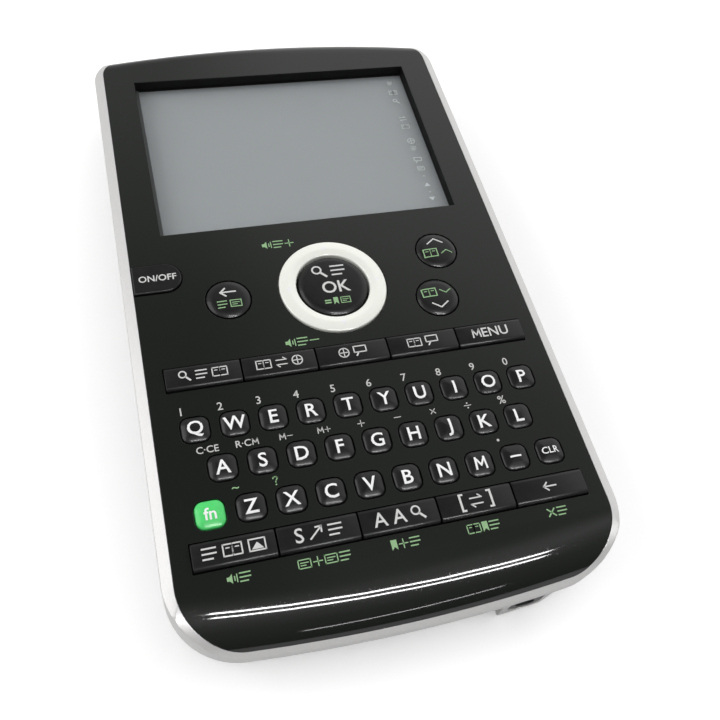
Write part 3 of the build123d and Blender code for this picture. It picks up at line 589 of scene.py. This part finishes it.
def case_piece(node, name, body, finish, breaks=(), rolled=False, flatness=flat_degrees):
    """Piece from a CAD node's own shape, with joined faces, broken edges and smooth corners."""
    shape = copy_in_mm(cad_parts[node].data)
    bmesh.ops.remove_doubles(shape, verts=shape.verts[:], dist=0.002)
    bmesh.ops.dissolve_limit(shape, angle_limit=radians(flatness), verts=shape.verts[:],
                             edges=shape.edges[:])
    broken = sum(break_edges(shape, *limits) for limits in breaks)
    corners = lit_corners(shape, rolled)
    print(name, "faces", len(shape.faces), "edges broken", broken)
    piece = finish_piece(shape, name, body, finish, (node,), smooth=0, recalculate=False)
    piece.data.shade_smooth()
    piece.data.normals_split_custom_set([tuple(normal) for normal in corners])
    return piece


print("roll radii in mm:", [roll[1] for roll in rolls])

# %% [markdown]
# The face moulding, the frame, the back and the battery lid are now made from their CAD nodes with
# those helpers. A wall of the display's window is as dull as the moulding's inside, so the faces in
# the window get a second, matt material. The frame's sharp rims turn by two angles, and each kind
# gets a bevel of its own width, because a wide one would cut into the thin rim.

# %% Face moulding, frame and back
moulding = case_piece("front_case", "face_moulding", "housing", face_gloss,
                      [(0.10, 40)], rolled=True)
window_low, window_high = Vector((-31.6, 14.4)), Vector((31.6, 58.2))
window_top = face_z - 0.12
moulding.data.materials.append(wall_black.owner)
for face in moulding.data.polygons:
    x, y, z = face.center / MM
    inside = window_low.x < x < window_high.x and window_low.y < y < window_high.y
    face.material_index = 1 if inside and z < window_top else 0
case_piece("side_frame", "silver_frame", "housing", frame_paint,
           [(0.20, 50, 85), (0.06, 85)], rolled=True)
case_piece("back_shell", "back_moulding", "housing", back_paint, [(0.15, 40)])
case_piece("battery_cover", "battery_lid", "battery_cover", back_paint,
           [(0.12, 40)])

# %% [markdown]
# ## Small keys
# Each of the 29 small keys is a rounded square with a pillow top and a flat lip under the face
# that keeps it in. A bevel alone would leave the top flat, and a flat glossy top shows one flat
# grey. So the top face is inset again and again, and each ring rises a little less than the one
# outside it. Past the corner's radius an inset would fold over itself, so the last rings shrink
# towards the middle instead. The slope changes all the way in, and a lamp draws a gradient on it.

# %% Small keys
small_keys = sorted(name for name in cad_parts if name.startswith("key_"))
small_keys += ["function_key", "clear_key"]
lip = 0.6                  # lip beyond the cap, and its thickness
lip_corner, cap_corner = 0.4, 1.5
# how far each ring of the pillow lies inside the last one, and how much higher
pillow = [(0.06, 0.14), (0.10, 0.10), (0.16, 0.095), (0.30, 0.125), (0.36, 0.12), (0.38, 0.098)]
# then how much each ring shrinks towards the middle, and how much higher it lies
crown = [(0.645, 0.078), (0.5, 0.041), (0.4, 0.012)]
tops = {}                  # shape of each key's top, on which its legend is laid


def key_piece(node, shape, smooth, finish=key_gloss, slot="key_black"):
    """Finished key that stands for its node. Its surface is kept for its legend."""
    tops[node] = BVHTree.FromBMesh(shape)
    return finish_piece(shape, node + "_cap", node, finish, (node,), smooth)


def small_key(node):
    """Lip and pillow cap of one small key."""
    low, high = node_box(node)
    shape = bmesh.new()
    rounded_block(shape, low, (high.x, high.y, low.z + lip), lip_corner, 3)
    rise_total = sum(step[1] for step in pillow + crown)
    face = rounded_block(shape, (low.x + lip, low.y + lip, low.z + lip),
                         (high.x - lip, high.y - lip, high.z - rise_total), cap_corner)
    for inset, height in pillow:
        bmesh.ops.inset_individual(shape, faces=[face], thickness=inset, depth=height,
                                   use_even_offset=True)
    for shrink, height in crown:
        face = rise(shape, face, height)
        to_middle = Matrix.Translation(-face.calc_center_median())
        bmesh.ops.scale(shape, verts=face.verts[:], vec=(shrink, shrink, 1), space=to_middle)
    green = node == "function_key"
    return key_piece(node, shape, 50, *((green_gloss, "key_green") if green else ()))


for node in small_keys:
    cap = small_key(node)
print("small keys:", len(small_keys), "faces each:", len(cap.data.polygons))

# %% [markdown]
# ## Bar keys
# The two rows of bar keys share a slot each, with thin gaps between neighbours. Their long edges
# are rolled, which gives the bright line along each row, and their ends are only just broken.

# %% Bar keys
bar_keys = [f"{row}_key_{place}" for row in ("category", "lower") for place in range(1, 6)]
bar_roll = 0.75
bar_end_break = 0.15


def is_end(edge, top_z):
    """True for a sharp upper edge across the end of a bar key."""
    first, second = (vert.co for vert in edge.verts)
    return (edge.is_manifold and edge.is_convex and edge.calc_face_angle() > radians(60)
            and min(first.z, second.z) > top_z - 1.0 and abs(first.x - second.x) < 0.01)


def bar_key(node):
    """Lip and rolled cap of one bar key."""
    low, high = node_box(node)
    shape = bmesh.new()
    rounded_block(shape, low, (high.x, high.y, low.z + lip))
    top = rounded_block(shape, (low.x, low.y + lip, low.z + lip), (high.x, high.y - lip, high.z))
    long = [edge for edge in top.edges
            if abs((edge.verts[0].co - edge.verts[1].co).normalized().x) > 0.9]
    bevel(shape, long, bar_roll, 6)
    bevel(shape, [edge for edge in shape.edges if is_end(edge, high.z)], bar_end_break, 2)
    return key_piece(node, shape, 40)


for node in bar_keys:
    cap = bar_key(node)
print("bar keys:", len(bar_keys), "faces each:", len(cap.data.polygons))

# %% [markdown]
# ## Round keys, enter key and direction ring
# Anything round is a profile that turns round an axis. The profile is a chain of a few corners,
# each with its own rounding, which a vertex bevel cuts, and a spin of a full turn sweeps it. The
# chain starts and ends on the axis where the piece is closed there, and the doubled points at the
# pole are merged.

# %% Turned pieces
def turned(corners, at=(0, 0), steps=72, closed=False):
    """Shape whose profile of (radius, height, rounding) corners turns round an upright axis."""
    shape = bmesh.new()
    points = [shape.verts.new((at[0] + radius, at[1], height)) for radius, height, _ in corners]
    chain = list(zip(points, points[1:])) + ([(points[-1], points[0])] if closed else [])
    for ends in chain:
        shape.edges.new(ends)
    for point, (_, _, rounding) in zip(points, corners):
        if rounding:
            bevel(shape, [point], rounding, 6, "VERTICES")
    bmesh.ops.spin(shape, geom=shape.verts[:] + shape.edges[:], cent=(at[0], at[1], 0),
                   axis=(0, 0, 1), angle=2 * pi, steps=steps, use_merge=True)
    bmesh.ops.remove_doubles(shape, verts=shape.verts[:], dist=0.001)
    return shape


def round_key(node, lip_height, dome):
    """Domed round key with its lip."""
    low, high = node_box(node)
    lip_radius, lip_top = (high.x - low.x) / 2, low.z + lip_height
    radius, edge_z = lip_radius - lip, high.z - dome
    corners = [(0, low.z, 0), (lip_radius, low.z, 0), (lip_radius, lip_top, 0.1),
               (radius, lip_top, 0), (radius - 0.1, edge_z - 0.45, 0.12),
               (radius - 0.9, edge_z + 0.05, 0.5), (radius * 0.45, high.z - 0.03, 1.0),
               (0, high.z, 0)]
    return key_piece(node, turned(corners, middle(node)), 45)


for node in ("back_key", "previous_key", "next_key"):
    round_key(node, lip, 0.22)
round_key("enter_key", 0.4, 0.18)
low, high = node_box("enter_key")
print("round keys: 4, the largest in mm:", round(high.x - low.x, 1))

# %% [markdown]
# The direction ring is turned too, but its profile is closed, so it doesn't touch the axis. Under
# its lip two ridges rest on the rubber pad. The ring rocks on them, and they are blocks added to
# the same piece. The power key is a tab with a flat side, and keeps its CAD shape.

# %% Direction ring
ring_outer, ring_inner = 10.75, 7.35
ring_lip_top, ring_lip_low = 14.75, 14.25
ring_round, ring_round_drop = 1.1, 0.35    # where the ring's rounded rims start, inwards and down
ridge_half_x, ridge_half_y, ridge_out = 1.7, 0.6, 0.3
low, high = node_box("direction_ring")
ring_lip_radius = (high.x - low.x) / 2
ring_at = middle("enter_key")
rim_z = high.z - ring_round_drop
corners = [(ring_inner, ring_lip_low, 0), (ring_lip_radius, ring_lip_low, 0),
           (ring_lip_radius, ring_lip_top, 0.1), (ring_outer, ring_lip_top, 0),
           (ring_outer, rim_z, 0.25), (ring_outer - ring_round, high.z, 0.9),
           (ring_inner + ring_round, high.z, 0.9), (ring_inner, rim_z, 0.25)]
shape = turned(corners, ring_at, steps=128, closed=True)
ridge_reach = (ring_inner + ring_lip_radius) / 2 + ridge_out
for side in (-1, 1):
    ridge_x, ridge_y = ring_at[0] + side * ridge_reach, ring_at[1]
    rounded_block(shape, (ridge_x - ridge_half_x, ridge_y - ridge_half_y, low.z),
                  (ridge_x + ridge_half_x, ridge_y + ridge_half_y, ring_lip_low))
tops["direction_ring"] = BVHTree.FromBMesh(shape)
finish_piece(shape, "direction_ring_pearl", "direction_ring", ring_pearl,
             ("direction_ring",), smooth=45)
power_tab = case_piece("power_key", "power_tab", "power_key", key_gloss,
                       [(0.06, 40)], flatness=1.0)
power_shape = copy_in_mm(power_tab.data)
tops["power_key"] = BVHTree.FromBMesh(power_shape)
power_shape.free()
print("ring radii in mm:", ring_inner, ring_outer)

# %% [markdown]
# ## Legends
# Each key and many places on the face carry a printed legend. Letters, digits and maths marks are
# text objects in Blender's own font, made a mesh at once, because a mesh can be laid on a curved
# key point by point. Words are kept to the plain ones that any keyboard has, and the rest are
# small pictures put together from bars, rings, boxes and plates.

# %% Pictures
capital_height = 0.682     # height of a capital in a text of size 1
ink_lift = 0.012           # ink above the plastic
ink_edge = 0.4             # ink on a key has no edge much longer than this
ray_start_z = 40.0         # well above every key


def bars(width, *strokes):
    """Straight strokes of one width, each from x, y to x, y."""
    return [("bar", *ends, width) for ends in strokes]


# a ring is x, y, radius, width; a box x, y, x, y, width; a plate its corners
pictures = {
    "search": [("ring", -0.2, 0.25, 0.72, 0.24)] + bars(0.34, (0.32, -0.3, 0.95, -0.95)),
    "lines": bars(0.24, (-0.9, 0.72, 0.9, 0.72), (-0.9, 0, 0.9, 0), (-0.9, -0.72, 0.4, -0.72)),
    "book": [("box", -1.25, -0.8, 0, 0.8, 0.2), ("box", 0, -0.8, 1.25, 0.8, 0.2)]
    + bars(0.16, (-0.85, 0.3, -0.4, 0.3), (0.4, 0.3, 0.85, 0.3)),
    "globe": [("ring", 0, 0, 1.0, 0.2)] + bars(0.18, (-0.9, 0, 0.9, 0), (0, -0.9, 0, 0.9)),
    "bubble": [("box", -1.1, -0.3, 1.1, 0.9, 0.22)] + bars(0.28, (-0.3, -0.3, -0.75, -0.95)),
    "back": bars(0.22, (-0.95, 0, 1.0, 0), (-0.95, 0, -0.3, 0.6), (-0.95, 0, -0.3, -0.6)),
    "swap": bars(0.2, (-0.9, 0.45, 0.9, 0.45), (0.9, 0.45, 0.4, 0.9),
                 (0.9, -0.45, -0.9, -0.45), (-0.9, -0.45, -0.4, -0.9)),
    "jump": bars(0.24, (-0.9, -0.8, 0.7, 0.65), (0.8, 0.8, 0.0, 0.75), (0.8, 0.8, 0.75, 0.0)),
    "speaker": [("plate", (-0.95, -0.35), (-0.5, -0.35), (0.0, -0.85), (0.0, 0.85), (-0.5, 0.35),
                 (-0.95, 0.35))] + bars(0.2, (0.4, -0.35, 0.4, 0.35), (0.8, -0.65, 0.8, 0.65)),
    "card": [("box", -1.1, -0.75, 1.1, 0.75, 0.2)]
    + bars(0.18, (-0.7, 0.2, 0.7, 0.2), (-0.7, -0.25, 0.2, -0.25)),
    "bookmark": [("plate", (-0.55, 0.95), (-0.55, -0.95), (0, -0.35), (0.55, -0.95),
                  (0.55, 0.95))],
    "cross": bars(0.26, (-0.7, -0.7, 0.7, 0.7), (-0.7, 0.7, 0.7, -0.7)),
    "scene": [("box", -1.1, -0.8, 1.1, 0.8, 0.2),
              ("plate", (-0.8, -0.6), (0.0, 0.35), (0.35, 0.0), (0.85, -0.6))],
    "up": bars(0.17, (-1.0, -0.3, 0.0, 0.4), (1.0, -0.3, 0.0, 0.4)),
    "down": bars(0.17, (-1.0, 0.3, 0.0, -0.4), (1.0, 0.3, 0.0, -0.4)),
    "dot": [("ring", 0, 0, 0.35, 0.34)],
    "wedge": [("plate", (-1.0, -0.6), (1.0, -0.6), (0.0, 0.9))],
    "?": bars(0.24, (-0.48, 0.5, -0.28, 0.85), (-0.28, 0.85, 0.25, 0.85),
              (0.25, 0.85, 0.48, 0.5), (0.48, 0.5, 0.05, 0.0), (0.05, 0.0, 0.0, -0.35))
    + [("ring", 0, -0.85, 0.16, 0.15)],
    "+": bars(0.2, (-0.8, 0, 0.8, 0), (0, -0.8, 0, 0.8)),
    "−": bars(0.2, (-0.8, 0, 0.8, 0)),
    "×": bars(0.2, (-0.6, -0.6, 0.6, 0.6), (-0.6, 0.6, 0.6, -0.6)),
    "÷": bars(0.2, (-0.85, 0, 0.85, 0))
    + [("ring", 0, 0.62, 0.2, 0.19), ("ring", 0, -0.62, 0.2, 0.19)],
    "M": bars(0.3, (-0.78, -0.85, -0.66, 0.85), (0.78, -0.85, 0.66, 0.85))
    + bars(0.28, (-0.62, 0.72, 0.0, -0.4), (0.62, 0.72, 0.0, -0.4)),
}


def draw_bar(shape, x0, y0, x1, y1, width):
    """Straight stroke between two points, a little longer than they are apart."""
    along = Vector((x1 - x0, y1 - y0))
    points = rectangle(shape, along.length + width * 0.8, width)
    turn_by(shape, along.angle_signed(Vector((1, 0))), points=points)
    shift_by(shape, ((x0 + x1) / 2, (y0 + y1) / 2, 0), points)


def draw_mark(shape, kind, *numbers):
    """Adds one stroke, ring, box or plate of a picture."""
    if kind == "bar":
        draw_bar(shape, *numbers)
    elif kind == "box":
        x0, y0, x1, y1, width = numbers
        for side in ((x0, y0, x1, y0), (x1, y0, x1, y1), (x1, y1, x0, y1), (x0, y1, x0, y0)):
            draw_bar(shape, *side, width)
    elif kind == "ring":
        x, y, radius, width = numbers
        rim = bmesh.ops.create_circle(shape, cap_ends=True, segments=20, radius=radius)["verts"]
        shift_by(shape, (x, y, 0), rim)
        inner = rim[0].link_faces[0]
        bmesh.ops.inset_individual(shape, faces=[inner], thickness=width, use_even_offset=True)
        bmesh.ops.delete(shape, geom=[inner], context="FACES_ONLY")
    else:
        shape.faces.new([shape.verts.new((x, y, 0)) for x, y in numbers])


print("pictures:", ", ".join(pictures))

# %% [markdown]
# A legend is a row of words and pictures, centred on the origin. It is then moved to its place, its
# long edges are cut, and each of its points drops on the key below it, found by a ray cast down on
# the key's own shape. The ink so follows a domed key and moves with it.

# %% Legends as meshes
def add_mesh(shape, part):
    """Adds one bmesh to another and frees it."""
    mesh = bpy.data.meshes.new("part")
    part.to_mesh(mesh)
    part.free()
    shape.from_mesh(mesh)
    bpy.data.meshes.remove(mesh)


def word(text, size, weight):
    """Flat bmesh of a word in Blender's own font."""
    curve = bpy.data.curves.new("word", "FONT")
    curve.body, curve.size, curve.offset, curve.resolution_u = text, size, weight, 3
    holder = bpy.data.objects.new("word", curve)
    mesh = bpy.data.meshes.new_from_object(holder)
    part = bmesh.new()
    part.from_mesh(mesh)
    bpy.data.objects.remove(holder)
    bpy.data.curves.remove(curve)
    bpy.data.meshes.remove(mesh)
    return part


def legend(items, height, weight=0.05, gap=0.55):
    """Flat bmesh of words and pictures side by side, centred on the origin."""
    shape = bmesh.new()
    reach = 0.0
    for item in items:
        if item in pictures:
            part = bmesh.new()
            for mark in pictures[item]:
                draw_mark(part, *mark)
            scale_by(part, (height / 2, height / 2, 1))
        else:
            part = word(item, height / capital_height, weight)
        wide = [vert.co.x for vert in part.verts]
        tall = [vert.co.y for vert in part.verts]
        shift_by(part, (reach - min(wide), -(min(tall) + max(tall)) / 2, 0))
        reach += max(wide) - min(wide) + gap * height / 2
        add_mesh(shape, part)
    shift_by(shape, (-(reach - gap * height / 2) / 2, 0, 0))
    return shape


def lay_on(shape, at, node, lift=ink_lift):
    """Moves a legend to its place and lays it on a key, point by point, or on the flat face."""
    shift_by(shape, (at[0], at[1], 0))
    bmesh.ops.triangulate(shape, faces=shape.faces[:])
    for _ in range(3 if node else 0):
        long = [edge for edge in shape.edges if edge.calc_length() > ink_edge]
        bmesh.ops.subdivide_edges(shape, edges=long, cuts=1)
        bmesh.ops.triangulate(shape, faces=shape.faces[:])
    for vert in shape.verts:
        above = Vector((vert.co.x, vert.co.y, ray_start_z))
        hit = tops[node].ray_cast(above, Vector((0, 0, -1)))[0] if node else None
        vert.co.z = (hit.z if hit else face_z) + lift
    shape.normal_update()
    down = [face for face in shape.faces if face.normal.z < 0]
    bmesh.ops.reverse_faces(shape, faces=down)
    return shape


def key_legend(node, items, height, finish=ink_white, shift=(0, 0), name="legend", **style):
    """Legend of one key, laid on it near its centre."""
    at = Vector(middle(node)) + Vector(shift)
    shape = lay_on(legend(items, height, **style), at, node)
    slot = "key_green" if node == "function_key" else "key_black"
    return flat_piece(shape, f"{node}_{name}", node, finish)


print("ink lies above the plastic by", ink_lift, "mm")

# %% [markdown]
# Now each key gets its own legend. A small key has its letter or a short plain word, a bar key a
# row of pictures, and a round key a white mark and a green one for its second use. The brightest
# ink is on the letters, because they are printed thickest.

# %% Legends on the keys
special = {"function_key": ("fn", 2.0), "clear_key": ("CLR", 1.25), "key_dash": ("–", 2.7)}
for node in small_keys:
    letter, size = special.get(node, (node[-1].upper(), 2.5))
    weight = 0.02 if node == "clear_key" else 0.05
    key_legend(node, [letter], size, ink_bright, weight=weight)

bar_legends = (
    ["search", "lines", "book"], ["book", "swap", "globe"], ["globe", "bubble"],
    ["book", "bubble"], ["M", "ENU"], ["lines", "book", "scene"], ["S", "jump", "lines"],
    ["A", "A", "search"], ["[", "swap", "]"], ["back"])
for node, items in zip(bar_keys, bar_legends):
    plain_word = items[0] == "M"
    size = 2.0 if plain_word else 2.15 if node.startswith("category") else 2.45
    gap = 0.22 if plain_word else 0.75
    key_legend(node, items, size, shift=(0, 0.15), weight=0.03, gap=gap)
key_legend("power_key", ["ON/OFF"], 1.35, shift=(-0.2, 0), weight=0.03)
key_legend("back_key", ["back"], 3.0, shift=(0, 1.35))
key_legend("back_key", ["lines", "card"], 1.9, ink_green, (0, -1.35), "green_legend")
key_legend("previous_key", ["up"], 3.3, shift=(0, 2.1))
key_legend("previous_key", ["book", "up"], 2.3, ink_green, (0, -0.8), "green_legend")
key_legend("next_key", ["down"], 3.3, shift=(0, -2.1))
key_legend("next_key", ["book", "down"], 2.3, ink_green, (0, 1.0), "green_legend")
key_legend("enter_key", ["search", "lines"], 2.9, shift=(-0.3, 3.3))
key_legend("enter_key", ["OK"], 2.6, shift=(0.4, -0.6), name="lower_legend")
key_legend("enter_key", ["=", "bookmark", "card"], 1.7, ink_green, (0, -3.9), "green_legend")

# %% [markdown]
# ## Legends on the face
# The small grey digits and maths marks stand to the upper left of their keys, and the green marks
# under the lower bar keys are centred on them. They all lie on the flat face and don't move, so
# one piece holds the grey ones and one the green ones.

# %% Face legends
def gather(name, prints, finish):
    """One piece out of many legends on the flat face."""
    whole = bmesh.new()
    for items, height, at in prints:
        add_mesh(whole, lay_on(legend(items, height, weight=0.02, gap=0.3), at, None))
    print(name, "marks", len(prints))
    return flat_piece(whole, name, "housing", finish)


def beside(node, shift=(-2.0, 3.85)):
    """Place of a small mark to the upper left of a key."""
    x, y = middle(node)
    return x + shift[0], y + shift[1]


digits = [([digit], 1.5, beside(f"key_{letter}"))
          for digit, letter in zip("1234567890", "qwertyuiop")]
maths = [["C·CE"], ["R·C", "M"], ["M", "−"], ["M", "+"], ["+"], ["−"], ["×"], ["÷"], ["%"]]
signs = [(items, 1.25 if letter in "asdf" else 1.55, beside(f"key_{letter}"))
         for items, letter in zip(maths, "asdfghjkl")]
gather("face_marks_grey", digits + signs + [(["dot"], 1.5, beside("key_dash"))], ink_grey)

ring_x, ring_y = ring_at
green_marks = [(["~"], 1.5, beside("key_z")), (["?"], 1.7, beside("key_x")),
               (["speaker", "lines", "+"], 2.1, (ring_x - 8.76, ring_y + 11.75)),
               (["speaker", "lines", "−"], 2.1, (ring_x - 8.76, ring_y - 11.57))]
lower_pictures = (["speaker", "lines"], ["card", "+", "card", "lines"], ["bookmark", "+", "lines"],
                  ["book", "bookmark", "lines"], ["cross", "lines"])
for node, items in zip(bar_keys[5:], lower_pictures):
    green_marks.append((items, 1.9, beside(node, (0, -4.45))))
gather("face_marks_green", green_marks, ink_green)

# %% [markdown]
# ## Arrows on the ring
# The ring has a pale arrow at each quarter. One wedge is drawn on the origin, moved outwards and
# turned by quarter turns, and then laid on the ring's curved top.

# %% Ring arrows
arrow_reach = 9.15         # from the ring's centre
for quarter in range(4):
    arrow = legend(["wedge"], 1.5)
    shift_by(arrow, (0, arrow_reach, 0))
    turn_by(arrow, quarter * pi / 2)
    lay_on(arrow, ring_at, "direction_ring")
    flat_piece(arrow, f"ring_arrow_{quarter + 1}", "direction_ring", ink_bright)
print("ring arrows: 4")

# %% [markdown]
# ## The display
# Under the window lie the touch panel and the display module, flat sheets whose CAD shapes are
# right, so they only get a finish. Two things are added on the touch panel: a black border round
# the part of the display that shows, and a column of pale touch marks at the right. The border is
# a plate cut four times, with its middle thrown away. Its left strip is a dark grey instead of
# black.

# %% Display border and touch marks
def dress(node, finish):
    """Gives a CAD node its finish."""
    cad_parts[node].material_slots[0].material = finish.owner


dress("touch_panel", film)
dress("lcd_module", display)
low, high = node_box("touch_panel")
border_lift, marks_lift = 0.01, 0.015      # above the touch panel
seen_low, seen_high = Vector((-30.65, 14.65)), Vector((31.25, 57.6))

sheet = bmesh.new()
rectangle(sheet, high.x - low.x, high.y - low.y)
shift_by(sheet, (0, (low.y + high.y) / 2, high.z + border_lift))
for corner in (seen_low, seen_high):
    for normal in ((1, 0, 0), (0, 1, 0)):
        bmesh.ops.bisect_plane(sheet, geom=sheet.verts[:] + sheet.edges[:] + sheet.faces[:],
                               plane_co=(corner.x, corner.y, 0), plane_no=normal)
shown = (seen_low + seen_high) / 2
hole = min(sheet.faces, key=lambda face: (face.calc_center_median().to_2d() - shown).length)
bmesh.ops.delete(sheet, geom=[hole], context="FACES_ONLY")
for face in sheet.faces:
    face.material_index = 1 if face.calc_center_median().x < seen_low.x else 0
border = flat_piece(sheet, "display_border", "housing", wall_black)
border.data.materials.append(border_grey.owner)

marks_x = 28.1
touch_marks = [("lines", 1.2, 55.2), ("book", 1.5, 52.1), ("search", 1.5, 49.2),
               ("swap", 1.6, 43.4), ("book", 1.4, 40.9), ("globe", 1.8, 36.3),
               ("lines", 1.3, 34.0), ("bubble", 1.6, 30.4), ("card", 1.4, 27.9),
               ("–", 0.5, 25.6), ("wedge", 1.4, 23.1), ("–", 0.5, 20.9), ("wedge", 1.4, 18.9)]
column = bmesh.new()
for item, height, y in touch_marks:
    mark = legend([item], height)
    if (item, y) == ("wedge", 18.9):
        turn_by(mark, pi)
    add_mesh(column, lay_on(mark, (marks_x, y), None, high.z - face_z + marks_lift))
flat_piece(column, "display_touch_marks", "housing", ink_faint)
print("display shown in mm:", [round(side, 1) for side in seen_high - seen_low])

# %% [markdown]
# ## Cells and contacts
# Two AAA cells lie side by side under the cover, one each way round. A cell is a turned piece: it
# is made upright on the origin, then laid down along X and moved to its place. Its steel can shows
# at both ends, and the printed sleeve rolls over the rims. The springs and plates are CAD parts.

# %% Cells and contacts
cell_radius, button_radius, button_length = 5.15, 1.9, 0.9
can_inset = 0.05           # the can's ends lie that far inside the sleeve's
low, high = node_box("batteries")
cell_length = high.x - low.x
sleeve_top = cell_length - button_length
can_radius, sleeve_inner, can_top = cell_radius - 0.5, cell_radius - 0.8, sleeve_top - can_inset
can_corners = [(0, can_inset, 0), (can_radius, can_inset, 0.2), (can_radius, can_top, 0.2),
               (button_radius + 0.6, can_top, 0), (button_radius, can_top - 0.1, 0),
               (button_radius, cell_length, 0.3), (0, cell_length, 0)]
sleeve_corners = [(sleeve_inner, 0, 0), (cell_radius, 0, 0.45), (cell_radius, sleeve_top, 0.45),
                  (sleeve_inner, sleeve_top, 0)]
cans, sleeves = bmesh.new(), bmesh.new()
for side, y in ((1, low.y + cell_radius), (-1, high.y - cell_radius)):
    can = turned(can_corners, steps=48)
    sleeve = turned(sleeve_corners, steps=48, closed=True)
    for part, whole in ((can, cans), (sleeve, sleeves)):
        shift_by(part, (0, 0, -cell_length / 2))
        turn_by(part, side * pi / 2, "Y")
        shift_by(part, (0, y, (low.z + high.z) / 2))
        add_mesh(whole, part)
finish_piece(cans, "cell_cans", "housing", steel, ("batteries",))
finish_piece(sleeves, "cell_sleeves", "housing", cell_sleeve, smooth=50)
dress("battery_contacts", steel)
print("cells:", 2, "length in mm:", round(cell_length, 1))

# %% [markdown]
# ## Case screws
# The four screws are seen from below, at the bottom of their holes. Each head starts as a small
# grid: the outer points are pushed out to a circle and the middle cross is pushed in, which gives a
# round head with a cross recess and no boolean. It is made face up on the origin, then turned over.

# %% Case screws
low, high = node_box("case_screws")
head_radius, head_height, shank_radius = 1.8, 1.2, 0.95
head_break, head_drop = 0.25, 0.18         # the head's rounded rim, inwards and down
recess_depth = 0.7
tip = -(high.z - low.z)
cell_side = 0.42           # side of a square of the grid
mid_screws_x = 14.5


def is_rim(edge):
    """True for an open edge round the head that isn't yet at the head's underside."""
    return (edge.is_boundary and min(vert.co.z for vert in edge.verts) > -head_height + 0.01
            and edge.verts[0].co.to_2d().length > head_radius - head_break - 0.05)


def screw(at):
    """One screw, head down, with its head's face at the given place."""
    shape = bmesh.new()
    grid = bmesh.ops.create_grid(shape, x_segments=7, y_segments=7, size=3.5 * cell_side)["verts"]
    for vert in grid:
        if vert.is_boundary:
            vert.co = vert.co.normalized() * (head_radius - head_break)
    arms = [face for face in shape.faces
            if min(abs(side) for side in face.calc_center_median().to_2d()) < cell_side / 2
            and face.calc_center_median().length < cell_side * 2.3]
    recess = parts_of(bmesh.ops.extrude_face_region(shape, geom=arms), bmesh.types.BMFace)
    deep = {vert for face in recess for vert in face.verts}
    shift_by(shape, (0, 0, -recess_depth), list(deep))
    bmesh.ops.delete(shape, geom=arms, context="FACES_ONLY")
    for widen, drop in ((head_break, head_drop), (0.0, head_height - head_drop)):
        rim = [edge for edge in shape.edges if is_rim(edge)]
        for vert in parts_of(bmesh.ops.extrude_edge_only(shape, edges=rim), bmesh.types.BMVert):
            flat = vert.co.to_2d()
            flat = flat.normalized() * (flat.length + widen)
            vert.co = (flat.x, flat.y, vert.co.z - drop)
    add_mesh(shape, turned([(0, tip, 0), (shank_radius, tip + 0.8, 0.1),
                            (shank_radius, -head_height, 0), (head_radius, -head_height, 0)],
                           steps=28))
    bmesh.ops.remove_doubles(shape, verts=shape.verts[:], dist=0.001)
    bmesh.ops.recalc_face_normals(shape, faces=shape.faces[:])
    turn_by(shape, pi, "X")
    shift_by(shape, at)
    return shape


screws = bmesh.new()
for x, y in ((low.x + head_radius, low.y + head_radius),
             (high.x - head_radius, low.y + head_radius),
             (-mid_screws_x, high.y - head_radius), (mid_screws_x, high.y - head_radius)):
    add_mesh(screws, screw((x, y, low.z)))
finish_piece(screws, "case_screw_set", "housing", zinc, ("case_screws",),
             recalculate=False)
print("case screws: 4, head in mm:", 2 * head_radius)

# %% [markdown]
# ## Jack, speaker, pen and what lies inside
# The earphone jack, the speaker and the touch pen are copied from the CAD model with smooth
# corners, so that their round parts don't show flats. The rubber mats and the boards are hidden by
# the keys and the case, and only get their finish.

# %% Jack, speaker, pen and inner parts
case_piece("earphone_jack", "jack_socket", "housing", dark_plastic, [(0.08, 60)])
case_piece("speaker", "speaker_unit", "housing", dark_plastic)
case_piece("touch_pen", "pointing_pen", "touch_pen", dark_plastic, [(0.08, 60)])
for node, finish in (("rubber_keypad", rubber), ("ring_pad", rubber), ("circuit_boards", board)):
    dress(node, finish)

# %% [markdown]
# ## End of the scene

# %% Finish
print("scene built")
